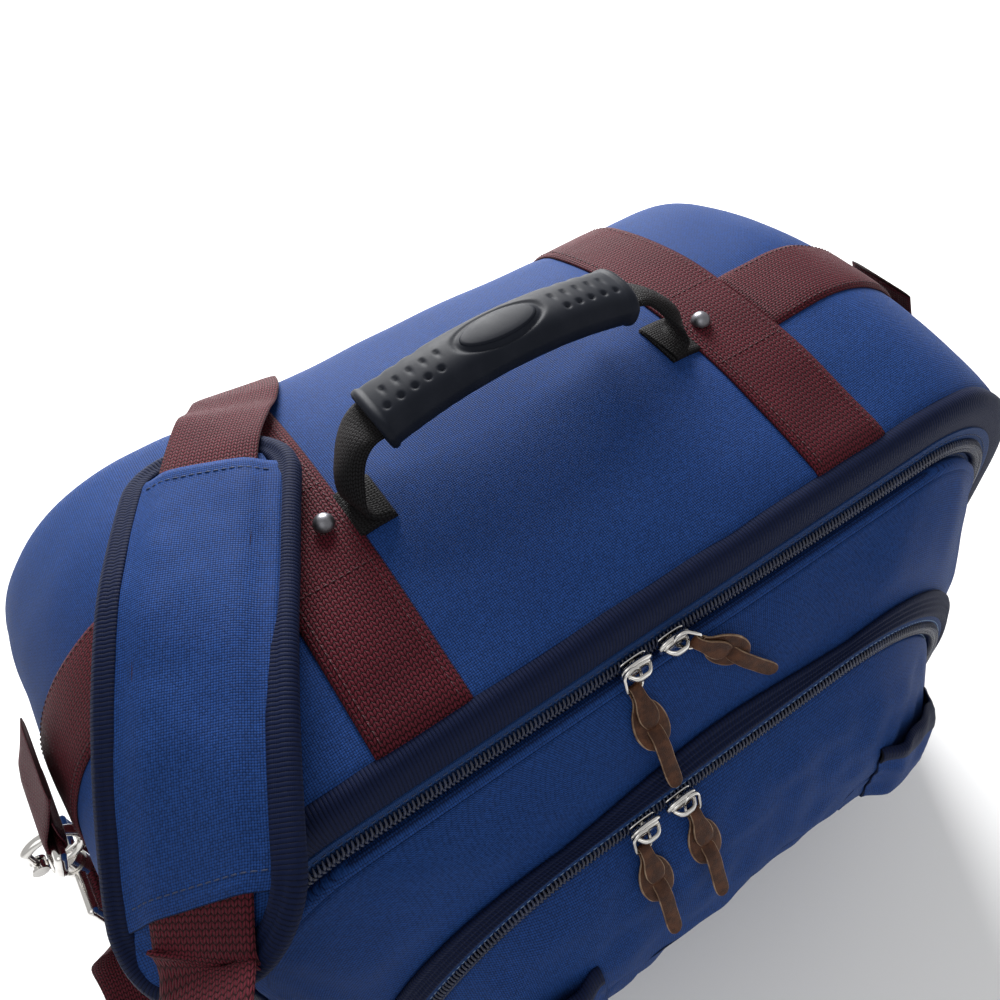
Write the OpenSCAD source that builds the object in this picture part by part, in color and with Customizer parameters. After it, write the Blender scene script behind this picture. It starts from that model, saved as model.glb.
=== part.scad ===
// Soft flight bag: padded body with a zipped front door, organiser on the door,
// carry handle, cross straps and a detachable shoulder strap.
// Millimetres. X runs along the bag, Y towards its back, Z up from the surface it stands on.
// The origin is the underside of the centre foot, below the middle of the handle.

/* [Body] */
// Length of the padded body, end to end
body_l = 464; // [456:2:472]
// Height of the roof's crest above the surface the bag stands on
crest_h = 330; // [324:1:336]
// Distance from the handle line forward to the body's front edge
front_d = 90; // [88:1:92]
// Distance from the handle line back to the back face
back_d = 128; // [126:1:130]
// Radius of the two upper corners, seen from the front
top_r = 85; // [82:1:86]
// Radius of the two lower corners, seen from the front
low_r = 50; // [48:1:54]
// Radius across the roof, front to back
crown_r = 280; // [270:5:300]
// Radius of the soft edge round the back face
back_r = 30; // [28:1:32]
// Thickness of the padded walls
wall_t = 7; // [6:0.5:8]
// Thickness of the lining cloth
lining_t = 1.4; // [1:0.1:2]
// Height of the feet
foot_h = 8; // [7:0.5:9]

/* [Straps] */
// Width of the heavy webbing straps
strap_w = 40; // [38:1:41]
// Thickness of the heavy webbing
strap_t = 2; // [1.6:0.1:2.2]
// Distance of each cross strap from the middle of the bag
strap_x = 105; // [100:1:108]

/* [Handle] */
// Length of the moulded grip, end to end
grip_l = 122; // [116:1:126]
// Width of the grip, front to back
grip_w = 30; // [28:1:31]
// Thickness of the grip
grip_t = 17; // [16:0.5:18]
// Rise of the grip's middle above its ends
grip_rise = 8.4; // [8:0.2:9]
// Distance from the handle's pivot line to the grip's ends
grip_end_r = 21; // [20.5:0.5:22]
// Angle that the handle leans towards the back
handle_lean = 38; // [36:1:40]
// Angle that the grip is rolled back on its webbing, so that its badge faces up
grip_roll = 38; // [36:1:40]
// Distance of each handle pivot from the middle
pivot_x = 83; // [82:1:83]

/* [Door and organiser] */
// Width of the binding round the front edge
binding_w = 17; // [16:0.5:18]
// Distance from the front outline to the middle of the main zip
zip_in = 25; // [24.5:0.5:25.5]
// Half of the organiser's width at its front
org_half = 178; // [176:1:180]
// Height of the organiser's lower edge
org_low = 76; // [74:1:78]
// Height of the organiser's upper edge
org_top = 240; // [238:1:242]
// Radius of the organiser's upper corners
org_r = 110; // [104:1:112]
// Distance of the organiser's rim in front of the handle line
org_y = 133; // [132:0.5:134]
// Distance that the organiser's front bulges beyond its rim
org_bulge = 35; // [33:1:36]

/* [Shoulder strap] */
// Length of the shoulder pad
pad_l = 200; // [190:2:204]
// Width of the shoulder pad
pad_w = 72; // [68:1:74]
// Thickness of the shoulder pad's foam
pad_t = 8; // [7:0.5:9]
// Angle of the pad on the roof, from straight forward towards the left
pad_turn = 27; // [26:1:28]
// Thickness of the shoulder webbing
web_t = 1.8; // [1.6:0.1:2]

/* [Hidden] */

blue = [0.12, 0.25, 0.55];
navy = [0.06, 0.09, 0.22];
maroon = [0.36, 0.11, 0.15];
black = [0.06, 0.06, 0.07];
steel = [0.75, 0.75, 0.78];
brown = [0.35, 0.2, 0.13];
grey = [0.5, 0.5, 0.52];

$fn = 64;
half_l = body_l / 2;
crown_y = 8;
front_top = crown(-front_d);
// Stations front to back at which the body's outline is set
body_stations = [-front_d, -50, -10, 30, 66, 98, 108, 118, 125, back_d];
corner_steps = 8;

// ---- Functions that give the body's surface ----

// Height of the roof's middle line at a distance y behind the handle
function crown(y) = crest_h - crown_r + sqrt(crown_r * crown_r - (y - crown_y) * (y - crown_y));
// Amount that the outline draws in towards the back face
function back_in(y) = y <= back_d - back_r ? 0
    : back_r - sqrt(max(0, back_r * back_r - pow(y - back_d + back_r, 2)));
// Drop of the roof towards the ends
function end_drop(x) = abs(x) <= half_l - top_r ? 0
    : top_r - sqrt(max(0, top_r * top_r - pow(abs(x) - half_l + top_r, 2)));
function roof_z(x, y) = crown(y) - back_in(y) - end_drop(x);
function on_roof(x, y, lift) = [x, y, roof_z(x, y) + lift];
function unit(v) = v / norm(v);
function arc(cx, cz, r, a0, a1) =
    [for (i = [0:corner_steps]) let(a = a0 + (a1 - a0) * i / corner_steps) [cx + r * cos(a), cz + r * sin(a)]];
// Rounded upright outline as points
function outline_points(hw, z0, z1, rt, rb) = concat(
    arc(hw - rt, z1 - rt, rt, 0, 90), arc(rt - hw, z1 - rt, rt, 90, 180),
    arc(rb - hw, z0 + rb, rb, 180, 270), arc(hw - rb, z0 + rb, rb, 270, 360));
function body_ring(y, inset) = let(i = inset + back_in(y))
    [for (p = outline_points(half_l - i, foot_h + i, crown(y) - i, max(top_r - i, 4), max(low_r - i, 4)))
        [p[0], y, p[1]]];
function organiser_points(i, y) =
    [for (p = outline_points(org_half - i, org_low + i, org_top - i, org_r - i, max(40 - i, 4)))
        [p[0], y, p[1]]];

// ---- Modules for shared shapes ----

// Solid between matching closed rings of points, listed from front to back
module loft(rings) {
    n = len(rings[0]);
    m = len(rings);
    sides = [for (j = [0:m - 2]) for (i = [0:n - 1]) let(k = (i + 1) % n)
        [j * n + i, j * n + k, (j + 1) * n + k, (j + 1) * n + i]];
    front = [for (i = [n - 1:-1:0]) i];
    back = [for (i = [0:n - 1]) (m - 1) * n + i];
    polyhedron(concat([for (r = rings) each r]), concat(sides, [front, back]), convexity = 8);
}
// Flat upright plate between two distances along Y
module slab(y0, y1) { translate([0, y1, 0]) rotate([90, 0, 0]) linear_extrude(y1 - y0) children(); }
// Rounded upright outline with true arcs
module outline(hw, z0, z1, rt, rb) {
    translate([-hw, z0 + rb]) square([2 * hw, z1 - z0 - rt - rb]);
    translate([rt - hw, z1 - rt - 1]) square([2 * (hw - rt), rt + 1]);
    translate([rb - hw, z0]) square([2 * (hw - rb), rb + 1]);
    for (s = [-1, 1]) {
        translate([s * (hw - rt), z1 - rt]) quarter(rt, s, 1);
        translate([s * (hw - rb), z0 + rb]) quarter(rb, s, -1);
    }
}
module quarter(r, sx, sz) {
    intersection() {
        circle(r = r, $fn = 128);
        translate([sx > 0 ? -1 : -r, sz > 0 ? -1 : -r]) square([r + 1, r + 1]);
    }
}
module front_outline(i) { outline(half_l - i, foot_h + i, front_top - i, top_r - i, low_r - i); }
module organiser_outline(i) { outline(org_half - i, org_low + i, org_top - i, org_r - i, max(40 - i, 4)); }
// Band between two insets of the front outline, open below a height
module front_band(i0, i1, y0, y1, low) {
    slab(y0, y1) difference() {
        front_outline(i0);
        front_outline(i1);
        if (low > 0) translate([-half_l, 0]) square([body_l, low]);
    }
}
module organiser_band(i0, i1, y0, y1, low) {
    slab(y0, y1) difference() {
        organiser_outline(i0);
        organiser_outline(i1);
        if (low > 0) translate([-half_l, 0]) square([body_l, low]);
    }
}
// Round bar along Y
module bar_y(x, z, r, len) { translate([x, len / 2, z]) rotate([90, 0, 0]) cylinder(r = r, h = len); }
module mirror_to(side) { if (side > 0) children(); else mirror([1, 0, 0]) children(); }

// ---- Body ----

foot_places = [[0, 0], [-165, -62], [165, -62], [-165, 92], [165, 92]];
rivet_r = 2.4;
module foot_holes() {
    for (p = foot_places) translate([p[0], p[1], foot_h / 2]) cylinder(r = rivet_r, h = 40);
}
module body_solid(inset, y_first, y_last) {
    inner = [for (y = body_stations) if (y > y_first && y < y_last) y];
    loft([for (y = concat([y_first], inner, [y_last])) body_ring(y, inset)]);
}
module shell() color(blue) difference() {
    body_solid(0, -front_d, back_d);
    body_solid(wall_t, -front_d - 1, 118);
    slab(100, back_d + 2) back_opening(0);
    foot_holes();
}
// Opening in the shell's back face that the back panel fills
back_rim = 34;
back_top = crown(back_d) - back_rim;
module back_opening(i) { outline(half_l - back_rim - i, foot_h + back_rim + i, back_top - i, 51 - i, 20 - i); }
module back_panel() color(blue) slab(118, back_d) back_opening(0);
module back_piping() color(navy) slab(back_d, back_d + 2.5) difference() {
    back_opening(-2.5);
    back_opening(2.5);
    for (s = [-1, 1]) translate([s * strap_x - strap_w / 2 - 0.2, 0]) square([strap_w + 0.4, crest_h]);
}
lining_gap = 0.2;
module lining() color(grey) difference() {
    body_solid(wall_t + lining_gap, -front_d + 1, 118 - lining_gap);
    body_solid(wall_t + lining_gap + lining_t, -front_d, 118 - lining_gap - lining_t);
    foot_holes();
}
board_z = foot_h + wall_t + lining_gap + lining_t + 0.1;
board_t = 4;
module base_board() color(black) difference() {
    translate([0, 14, board_z]) linear_extrude(board_t) square([330, 164], center = true);
    foot_holes();
}
divider_t = 7;
module divider(x) {
    translate([x - divider_t / 2, 0, 0]) rotate([90, 0, 90]) linear_extrude(divider_t) union() {
        translate([-66, board_z + board_t]) square([172, 190]);
        translate([-46, board_z + board_t]) square([156, 210]);
        translate([-46, board_z + board_t + 190]) circle(r = 20);
    }
}
module dividers() color(grey) for (s = [-1, 1]) divider(s * 78);
foot_r = 12;
module feet() color(black) for (p = foot_places) translate([p[0], p[1], 0]) difference() {
    rotate_extrude() union() {
        square([foot_r - 2, foot_h]);
        translate([0, 2]) square([foot_r, foot_h - 2]);
        translate([foot_r - 2, 2]) circle(r = 2);
    }
    translate([0, 0, foot_h / 2]) cylinder(r = rivet_r, h = foot_h);
}
module foot_rivets() color(steel) for (p = foot_places) translate([p[0], p[1], foot_h / 2]) {
    cylinder(r = rivet_r, h = board_z + board_t - foot_h / 2);
    translate([0, 0, board_z + board_t - foot_h / 2]) cylinder(r = 7, h = 1.5);
}

// ---- Front edge: binding and main zip ----

tape_y = -front_d - 5;
coil_y = tape_y - 1.4;
coil_d = 2.8;
zip_gap = 1.2;
coil_w = 2.7;
zip_end = 60;
tape_w = 10;
module front_binding() color(navy) front_band(0, binding_w, tape_y, -front_d, 0);
module zip_tape_body() color(blue) front_band(zip_in - zip_gap / 2 - tape_w, zip_in - zip_gap / 2,
    coil_y, tape_y, zip_end);
module zip_coil_body() color(navy) front_band(zip_in - zip_gap / 2 - coil_w, zip_in - zip_gap / 2,
    coil_y - coil_d, coil_y, zip_end);
module zip_tape_door() color(blue) front_band(zip_in + zip_gap / 2, zip_in + zip_gap / 2 + tape_w,
    coil_y, tape_y, zip_end);
module zip_coil_door() color(navy) front_band(zip_in + zip_gap / 2, zip_in + zip_gap / 2 + coil_w,
    coil_y - coil_d, coil_y, zip_end);

// ---- Webbing sewn on the body ----

// Path over the roof and down the back at a lift above the surface, as [y, z]
over_end = 46;
function roof_path(lift) = concat(
    [for (y = body_stations) if (y < back_d) let(a = roof_slope(y)) [y + lift * sin(a), roof_z(0, y) + lift * cos(a)]],
    [[back_d + lift, roof_z(0, back_d)], [back_d + lift, over_end]]);
// Angle of the surface at a station, from level
function roof_slope(y) = y > 98 ? 75 * (y - 98) / back_r + 18 : (y - crown_y) / 5.2;
module cross_strap(x) {
    color(maroon) translate([x - strap_w / 2, 0, 0]) rotate([90, 0, 90]) linear_extrude(strap_w) difference() {
        polygon(concat(roof_path(strap_t), [[back_d - 40, over_end], [-front_d, crest_h - 60]]));
        polygon(concat(roof_path(0), [[back_d - 60, over_end - 10], [-front_d - 5, crest_h - 80]]));
        translate([-200, crest_h - 90]) square([200 - front_d, 100]);
        translate([-200, 0]) square([200 + back_d - 12, crest_h - 50]);
    }
}
module cross_strap_left() cross_strap(-strap_x);
module cross_strap_right() cross_strap(strap_x);
end_low = 62;
end_y = 0;
module end_strap(side) color(maroon) mirror_to(side) slab(end_y - strap_w / 2, end_y + strap_w / 2) difference() {
    outline(half_l + strap_t + 0.3, foot_h, crest_h + strap_t + 0.2, top_r + strap_t, low_r);
    outline(half_l + 0.3, foot_h - 1, crest_h + 0.2, top_r, low_r);
    translate([-half_l - 5, 0]) square([half_l + 5 + strap_x + strap_w / 2, crest_h + 10]);
    translate([0, 0]) square([half_l + 5, end_low]);
}
module end_strap_left() end_strap(-1);
module end_strap_right() end_strap(1);

// ---- Handle ----

pivot_z = crest_h + 8;
// Frame of the handle: origin on its pivot line, Z towards the grip
module handle_frame() { translate([0, 0, pivot_z]) rotate([-handle_lean, 0, 0]) children(); }
grip_arc_r = (grip_l * grip_l / 4 + grip_rise * grip_rise) / (2 * grip_rise);
grip_half_a = asin(grip_l / 2 / grip_arc_r);
grip_mid_r = grip_end_r + grip_rise;
slot_w = 24;
slot_t = 5;
module grip_frame() {
    handle_frame() translate([0, 0, grip_mid_r]) rotate([grip_roll, 0, 0]) translate([0, 0, -grip_mid_r]) children();
}
// Sweep of a section along the grip's arc
module grip_sweep(half_a) {
    translate([0, 0, grip_mid_r - grip_arc_r]) rotate([90, 0, 0]) rotate([0, 0, 90 - half_a])
        rotate_extrude(angle = 2 * half_a, $fn = 180) translate([grip_arc_r, 0]) children();
}
module grip_section() {
    square([grip_t, grip_w - grip_t + 6], center = true);
    for (s = [-1, 1]) translate([0, s * (grip_w - grip_t) / 2]) circle(d = grip_t);
}
module badge_place() { translate([0, 0, grip_mid_r + grip_t / 2 - 2.4]) children(); }
module badge_shape(grow, h) { scale([2.25, 1, 1]) cylinder(r = 7.7 + grow, h = h); }
module grip_half(sign) {
    difference() {
        grip_sweep(grip_half_a) intersection() {
            difference() {
                grip_section();
                square([slot_t, slot_w], center = true);
            }
            translate([sign > 0 ? 0.05 : -grip_t - 0.05, -grip_w]) square([grip_t, 2 * grip_w]);
        }
        if (sign > 0) badge_place() badge_shape(0.2, 10);
    }
}
module grip_upper() color(black) grip_frame() grip_half(1);
module grip_lower() color(black) grip_frame() grip_half(-1);
module grip_badge() color(black) grip_frame() badge_place() badge_shape(0, 2);
loop_t = 3;
pinch = 3.5;
// Folded end of the webbing between the grip and a pinched middle
module loop_end() {
    grip_frame() translate([grip_l / 2 + 1.5, 0, grip_end_r]) rotate([0, 112, 0]) cube([2.5, slot_w - 2, 4], center = true);
}
module loop_pinch() {
    handle_frame() translate([pivot_x - 8, 0, 11]) rotate([0, 130, 0]) cube([3, 14, loop_t], center = true);
}
module handle_webbing() color(black) {
    grip_frame() grip_sweep(grip_half_a + 0.6) square([slot_t - 1, slot_w - 2], center = true);
    for (s = [-1, 1]) mirror_to(s) {
        hull() {
            loop_end();
            loop_pinch();
        }
        hull() {
            loop_pinch();
            handle_frame() rotate([90, 0, 0]) translate([pivot_x, 0, 0])
                cylinder(r = loop_t / 2, h = 2 * pinch, center = true, $fn = 24);
        }
    }
}
// Folded black webbing that lies on the roof below each pivot, beside the strap's edge
module handle_tabs() color(black) for (s = [-1, 1]) {
    translate([s * (strap_x - strap_w / 2 - 9.5), 0, crest_h + 1.1]) cube([18, 26, 2], center = true);
}
module strap_rivets() color(grey) for (s = [-1, 1]) {
    translate([s * (strap_x - 9), 0, crest_h + strap_t]) difference() {
        sphere(r = 4.5);
        translate([0, 0, -5]) cube(10, center = true);
    }
}

// ---- Door and organiser ----

door_in = 31;
door_back = coil_y;
door_front = door_back - 7;
hinge_z = foot_h + 20;
module door_panel() color(blue) slab(door_front, door_back) front_outline(door_in);
module door_lining() color(grey) slab(door_back, door_back + lining_t) front_outline(door_in + 10);
gusset_t = 3;
function door_ring(i, y) =
    [for (p = outline_points(half_l - 35 - i, foot_h + 36 + i, front_top - 33 - i, top_r - 33, 20)) [p[0], y, p[1]]];
module organiser_gusset() color(blue) difference() {
    loft([organiser_points(0, -org_y), door_ring(0, door_front)]);
    loft([organiser_points(gusset_t, -org_y - 1), door_ring(gusset_t, door_front + 1)]);
}
org_tape_y = -org_y - 1.2;
org_zip_in = 8;
module organiser_binding() color(navy) organiser_band(-1, org_zip_in - coil_w - 1.6, org_tape_y - 2, -org_y, 0);
module organiser_tape() color(blue) organiser_band(org_zip_in - coil_w - 1.4, org_zip_in - zip_gap / 2,
    org_tape_y, -org_y, org_low + 50);
module organiser_coil() color(navy) organiser_band(org_zip_in - zip_gap / 2 - coil_w, org_zip_in - zip_gap / 2,
    org_tape_y - coil_d, org_tape_y, org_low + 50);
module flap_tape() color(blue) organiser_band(org_zip_in + zip_gap / 2, org_zip_in + 5,
    org_tape_y, -org_y, org_low + 50);
module flap_coil() color(navy) organiser_band(org_zip_in + zip_gap / 2, org_zip_in + zip_gap / 2 + coil_w,
    org_tape_y - coil_d, org_tape_y, org_low + 50);
// Bulged front in steps: depth in front of the rim and inset of the outline
flap_levels = [[3, 0], [8, 6], [14, 14], [20, 22], [26, 32], [31, 44], [org_bulge, 58]];
flap_in = 13;
flap_t = 4;
module flap_solid(t, back) {
    for (v = flap_levels) slab(-org_y - v[0] + t, back) organiser_outline(flap_in + v[1] + t);
}
module flap_panel() color(blue) difference() {
    flap_solid(0, -org_y - 1);
    flap_solid(flap_t, -org_y + 1);
}
pocket_x = 113;
pocket_w = 60;
pocket_low = 98;
pocket_top = 183;
pocket_rise = 8;
pocket_skin = 2;
module pocket_outline(i) {
    translate([pocket_x - pocket_w / 2 + i, pocket_low + i]) square([pocket_w - 2 * i, pocket_top - pocket_low - 20 - i]);
    translate([pocket_x - pocket_w / 2 + 20, pocket_low + i]) square([pocket_w - 20 - i, pocket_top - pocket_low - i]);
    translate([pocket_x - pocket_w / 2 + 20, pocket_top - 20]) circle(r = 20 - i);
}
// Skin that stands out from the flap, open at its top
module pocket(side) color(blue) mirror_to(side) difference() {
    intersection() {
        slab(-org_y - 60, -org_y - 1) pocket_outline(0);
        flap_solid(-pocket_rise, -org_y - 2);
    }
    intersection() {
        slab(-org_y - 60, -org_y + 5) {
            pocket_outline(2.5);
            translate([pocket_x - pocket_w / 2 + 20, pocket_top - 30]) square([pocket_w - 22.5, 40]);
        }
        flap_solid(pocket_skin - pocket_rise, -org_y + 5);
    }
    flap_solid(0, -org_y + 5);
}
module pocket_left() pocket(-1);
module pocket_right() pocket(1);

// ---- Zip sliders and pulls ----

slider_l = 15;
slider_w = 8.6;
plate_t = 1.6;
// Slider whose coil runs along X at the origin; its back faces +Y
module slider_body() {
    translate([-slider_l / 2, -coil_d - 0.5 - plate_t, -slider_w / 2]) cube([slider_l, plate_t, slider_w]);
    for (s = [-1, 1]) translate([-slider_l / 2, -coil_d - 1, s * (slider_w / 2 - 0.5) - 0.5]) cube([slider_l, coil_d + 0.6, 1]);
    translate([-3, -coil_d - 0.6, -0.3]) cube([6, coil_d + 3, 0.6]);
    translate([-slider_l / 2, 1.8, -slider_w / 2]) cube([slider_l, 1.2, slider_w / 2 + 0.3]);
    translate([0, -coil_d - 0.5 - plate_t, 0]) difference() {
        translate([-5, -4.7, -1.3]) cube([10, 5.2, 2.6]);
        translate([-3.4, -3.4, -3]) cube([6.8, 3.4, 6]);
    }
}
bail_r = 3.8;
bail_leg = 8;
bail_tilt = 17;
wire_r = 0.8;
bail_y = -coil_d - 0.5 - plate_t - 2;
// Place of a bail's hanging end: turn swings it from straight down towards the right
module bail_frame(turn) { translate([0, bail_y, 0]) rotate([0, -turn, 0]) rotate([-bail_tilt, 0, 0]) children(); }
// Wire loop through the slider's bridge, with a straight bar for the pull
module bail(side, turn) bail_frame(turn) translate([side * bail_r, 0, 0]) {
    rotate([90, 0, 0]) rotate_extrude(angle = 180) translate([bail_r, 0]) circle(r = wire_r, $fn = 24);
    for (s = [-1, 1]) translate([s * bail_r, 0, -bail_leg]) cylinder(r = wire_r, h = bail_leg, $fn = 24);
    for (s = [-1, 1]) translate([s * bail_r, 0, -bail_leg]) sphere(r = wire_r, $fn = 24);
    translate([-bail_r, 0, -bail_leg]) rotate([0, 90, 0]) cylinder(r = wire_r, h = 2 * bail_r, $fn = 24);
}
// Leather tab folded round the bail's bar at its origin, hanging down -Z
tab_t = 2;
tube_r = 1.85;
tube_l = 5.6;
module leather_pull() {
    difference() {
        union() {
            translate([-tube_l / 2, 0, 0]) rotate([0, 90, 0]) cylinder(r = tube_r, h = tube_l);
            rotate([90, 0, 0]) linear_extrude(tab_t, center = true) union() {
                translate([-tube_l / 2, -14]) square([tube_l, 14]);
                translate([0, -18]) circle(r = 7);
            }
        }
        translate([-tube_l, 0, 0]) rotate([0, 90, 0]) cylinder(r = wire_r + 0.2, h = 2 * tube_l);
    }
    translate([-3.5, -tab_t / 2, -44]) cube([7, tab_t, 22]);
}
main_zip_z = front_top - zip_in;
slider_y = coil_y;
left_x = -21;
right_x = -2;
org_left_x = -43.5;
org_right_x = -24.5;
org_zip_z = org_top - org_zip_in;
module slider_left() color(steel) translate([left_x, slider_y, main_zip_z]) slider_body();
module slider_right() color(steel) translate([right_x, slider_y, main_zip_z]) slider_body();
right_turn = 50;
module bail_left() color(steel) translate([left_x, slider_y, main_zip_z]) bail(-1, 0);
module bail_right() color(steel) translate([right_x, slider_y, main_zip_z]) bail(1, right_turn);
// A pull at the end of its bail, swung forward by an angle from straight down
module pull_at(side, turn, swing) color(brown) bail_frame(turn) translate([side * bail_r, 0, -bail_leg])
    rotate([bail_tilt - swing, 0, 0]) leather_pull();
door_slope = atan2(org_y + door_front, front_top - 33 - org_top);
module pull_left() translate([left_x, slider_y, main_zip_z]) pull_at(-1, 0, door_slope + 3);
module pull_right() translate([right_x, slider_y, main_zip_z]) pull_at(1, right_turn, 22);
module organiser_slider_left() color(steel) translate([org_left_x, org_tape_y, org_zip_z]) slider_body();
module organiser_slider_right() color(steel) translate([org_right_x, org_tape_y, org_zip_z]) slider_body();
module organiser_bail_left() color(steel) translate([org_left_x, org_tape_y, org_zip_z]) bail(-1, 0);
module organiser_bail_right() color(steel) translate([org_right_x, org_tape_y, org_zip_z]) bail(1, 0);
module organiser_pull_left() translate([org_left_x, org_tape_y, org_zip_z]) pull_at(-1, 0, 33);
module organiser_pull_right() translate([org_right_x, org_tape_y, org_zip_z]) pull_at(1, 0, 33);

// ---- End rings and snap hooks, drawn for the right end ----

ring_wire = 2.4;
ring_half = 23.5;
ring_leg = 6;
ring_x = half_l + 9;
ring_z = 258;
ring_tilt = 20;
ring_depth = ring_leg + ring_half;
tab_gap = 0.4;
module ring_tab() {
    difference() {
        union() {
            bar_y(ring_x, ring_z, ring_wire + tab_gap + 2, strap_w);
            hull() {
                bar_y(ring_x - 3, ring_z + 3, 1.8, strap_w);
                bar_y(half_l - 6.4, ring_z + 29, 1.8, strap_w);
            }
        }
        bar_y(ring_x, ring_z, ring_wire + tab_gap, strap_w + 2);
        slab(-40, 40) outline(half_l + strap_t + 0.35, foot_h, crest_h + strap_t + 0.2, top_r + strap_t, low_r);
    }
}
module d_ring() {
    translate([ring_x, 0, ring_z]) rotate([0, -ring_tilt, 0]) {
        bar_y(0, 0, ring_wire, 2 * ring_half);
        for (s = [-1, 1]) translate([0, s * ring_half, -ring_leg]) cylinder(r = ring_wire, h = ring_leg);
        for (s = [-1, 1]) translate([0, s * ring_half, 0]) sphere(r = ring_wire);
        translate([0, 0, -ring_leg]) rotate([0, 90, 0]) rotate([0, 0, -90]) rotate_extrude(angle = 180)
            translate([ring_half, 0]) circle(r = ring_wire, $fn = 32);
    }
}
hook_x = ring_x + ring_depth * sin(ring_tilt);
hook_z = ring_z - ring_depth * cos(ring_tilt) - 4;
hook_r = 11.5;
hook_wire = 2.4;
gate_a = 35;
gate_top_a = 42;
gate_x = hook_r * cos(gate_a);
gate_z = -hook_r * sin(gate_a);
stem_r = 3;
stem_top = -hook_r - 1;
boss_top = -hook_r - 7;
boss_h = 7;
module hook_place() { translate([hook_x, 0, hook_z]) children(); }
module hook() hook_place() {
    rotate([90, 0, 0]) rotate([0, 0, gate_top_a]) rotate_extrude(angle = 360 - gate_top_a - gate_a - 15)
        translate([hook_r, 0]) circle(r = hook_wire, $fn = 32);
    for (s = [-1, 1]) bar_at(gate_x, gate_z, 3.4, s * 2.6, 1.2);
    bar_y(gate_x, gate_z, 0.9, 6);
    translate([0, 0, boss_top + 0.3]) cylinder(r = 5, h = stem_top - boss_top + 1);
    translate([0, 0, boss_top - boss_h - 2]) cylinder(r = stem_r, h = boss_h + 4);
    translate([0, 0, boss_top - boss_h - 2]) cylinder(r = 4.8, h = 1.7);
}
// Short round bar along Y centred at a y position
module bar_at(x, z, r, y, len) { translate([0, y, 0]) bar_y(x, z, r, len); }
gate_bar = 2 * hook_r * sin((gate_a + gate_top_a) / 2) - 1.6;
gate_lean = (gate_top_a - gate_a) / 2;
module gate() hook_place() translate([gate_x, 0, gate_z]) difference() {
    union() {
        bar_y(0, 0, 2.5, 3);
        rotate([0, -gate_lean, 0]) cylinder(r = 1.4, h = gate_bar);
    }
    bar_y(0, 0, 0.98, 8);
}
loop_half = 23.5;
loop_low = boss_top - boss_h - 17;
loop_wire = 2.2;
module strap_loop() hook_place() {
    difference() {
        union() {
            translate([0, 0, boss_top - boss_h]) cylinder(r = 6, h = boss_h);
            bar_y(0, boss_top - boss_h / 2, 2.4, 2 * loop_half);
        }
        translate([0, 0, boss_top - boss_h - 1]) cylinder(r = stem_r + 0.08, h = boss_h + 2);
    }
    for (s = [-1, 1]) {
        translate([0, s * loop_half, loop_low]) cylinder(r = loop_wire, h = boss_top - boss_h / 2 - loop_low);
        translate([0, s * loop_half, loop_low]) sphere(r = loop_wire);
        translate([0, s * loop_half, boss_top - boss_h / 2]) sphere(r = 2.4);
    }
    bar_y(0, loop_low, loop_wire, 2 * loop_half);
}
module ring_tabs() color(maroon) for (s = [-1, 1]) mirror_to(s) ring_tab();
module d_ring_left() color(steel) mirror_to(-1) d_ring();
module d_ring_right() color(steel) d_ring();
module strap_loops() color(steel) for (s = [-1, 1]) mirror_to(s) strap_loop();
module hook_left() color(steel) mirror_to(-1) hook();
module hook_right() color(steel) hook();
module gate_left() color(steel) mirror_to(-1) gate();
module gate_right() color(steel) gate();

// ---- Shoulder strap ----

pad_back = [-113, 64];
pad_dir = [-sin(pad_turn), -cos(pad_turn)];
pad_side = [-cos(pad_turn), sin(pad_turn)];
pad_lift = strap_t + 1.8;
// Height of the roof's tangent plane along the pad's middle line, s = 0 at the back to 1 at the front
function pad_mid(s) = pad_back + pad_dir * pad_l * s;
function pad_tilt(s) = let(c = pad_mid(s), d = pad_side * 4)
    (roof_z(c[0] + d[0], c[1] + d[1]) - roof_z(c[0] - d[0], c[1] - d[1])) / 8;
// Point on the pad: s along, t across in mm, h above the pad's underside
function pad_point(s, t, h) = let(c = pad_mid(s), p = c + pad_side * t)
    [p[0], p[1], roof_z(c[0], c[1]) + pad_lift + pad_tilt(s) * t + h];
// Half width of the pad at s, rounded at both ends
function pad_half(s, edge) = let(u = min(s, 1 - s) * pad_l - edge, r = 26)
    pad_w / 2 - edge - (u < r ? r - sqrt(max(0, r * r - (r - u) * (r - u))) : 0);
pad_steps = [0, 0.008, 0.03, 0.07, 0.13, 0.25, 0.4, 0.55, 0.7, 0.82, 0.9, 0.95, 0.98, 1];
// Layer of the pad between two heights, drawn in from its edge
module pad_layer(edge, h0, h1, s0, s1) {
    e = edge / pad_l + 0.001;
    st = [for (s = pad_steps) min(max(s, e + s0), s1 - e)];
    rows = [for (k = [0:len(st) - 1]) if (k == 0 || st[k] > st[k - 1]) st[k]];
    loft([for (k = [len(rows) - 1:-1:0]) let(s = rows[k], w = max(pad_half(s, edge), 4)) [
        pad_point(s, -w, h1), pad_point(s, -w / 3, h1), pad_point(s, w / 3, h1), pad_point(s, w, h1),
        pad_point(s, w, h0), pad_point(s, w / 3, h0), pad_point(s, -w / 3, h0), pad_point(s, -w, h0)]]);
}
rim_w = 3;
module shoulder_pad() color(blue) pad_layer(rim_w, 0, pad_t, 0, 1);
module pad_cover() color(blue) difference() {
    pad_layer(1.5, pad_t + 0.6, pad_t + 5.4, 0.1, 0.9);
    pad_layer(5, pad_t - 1, pad_t + 4, 0, 1);
}
module pad_binding() color(navy) difference() {
    pad_layer(0, 0, pad_t, 0, 1);
    pad_layer(rim_w, -2, pad_t + 2, 0, 1);
}
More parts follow.
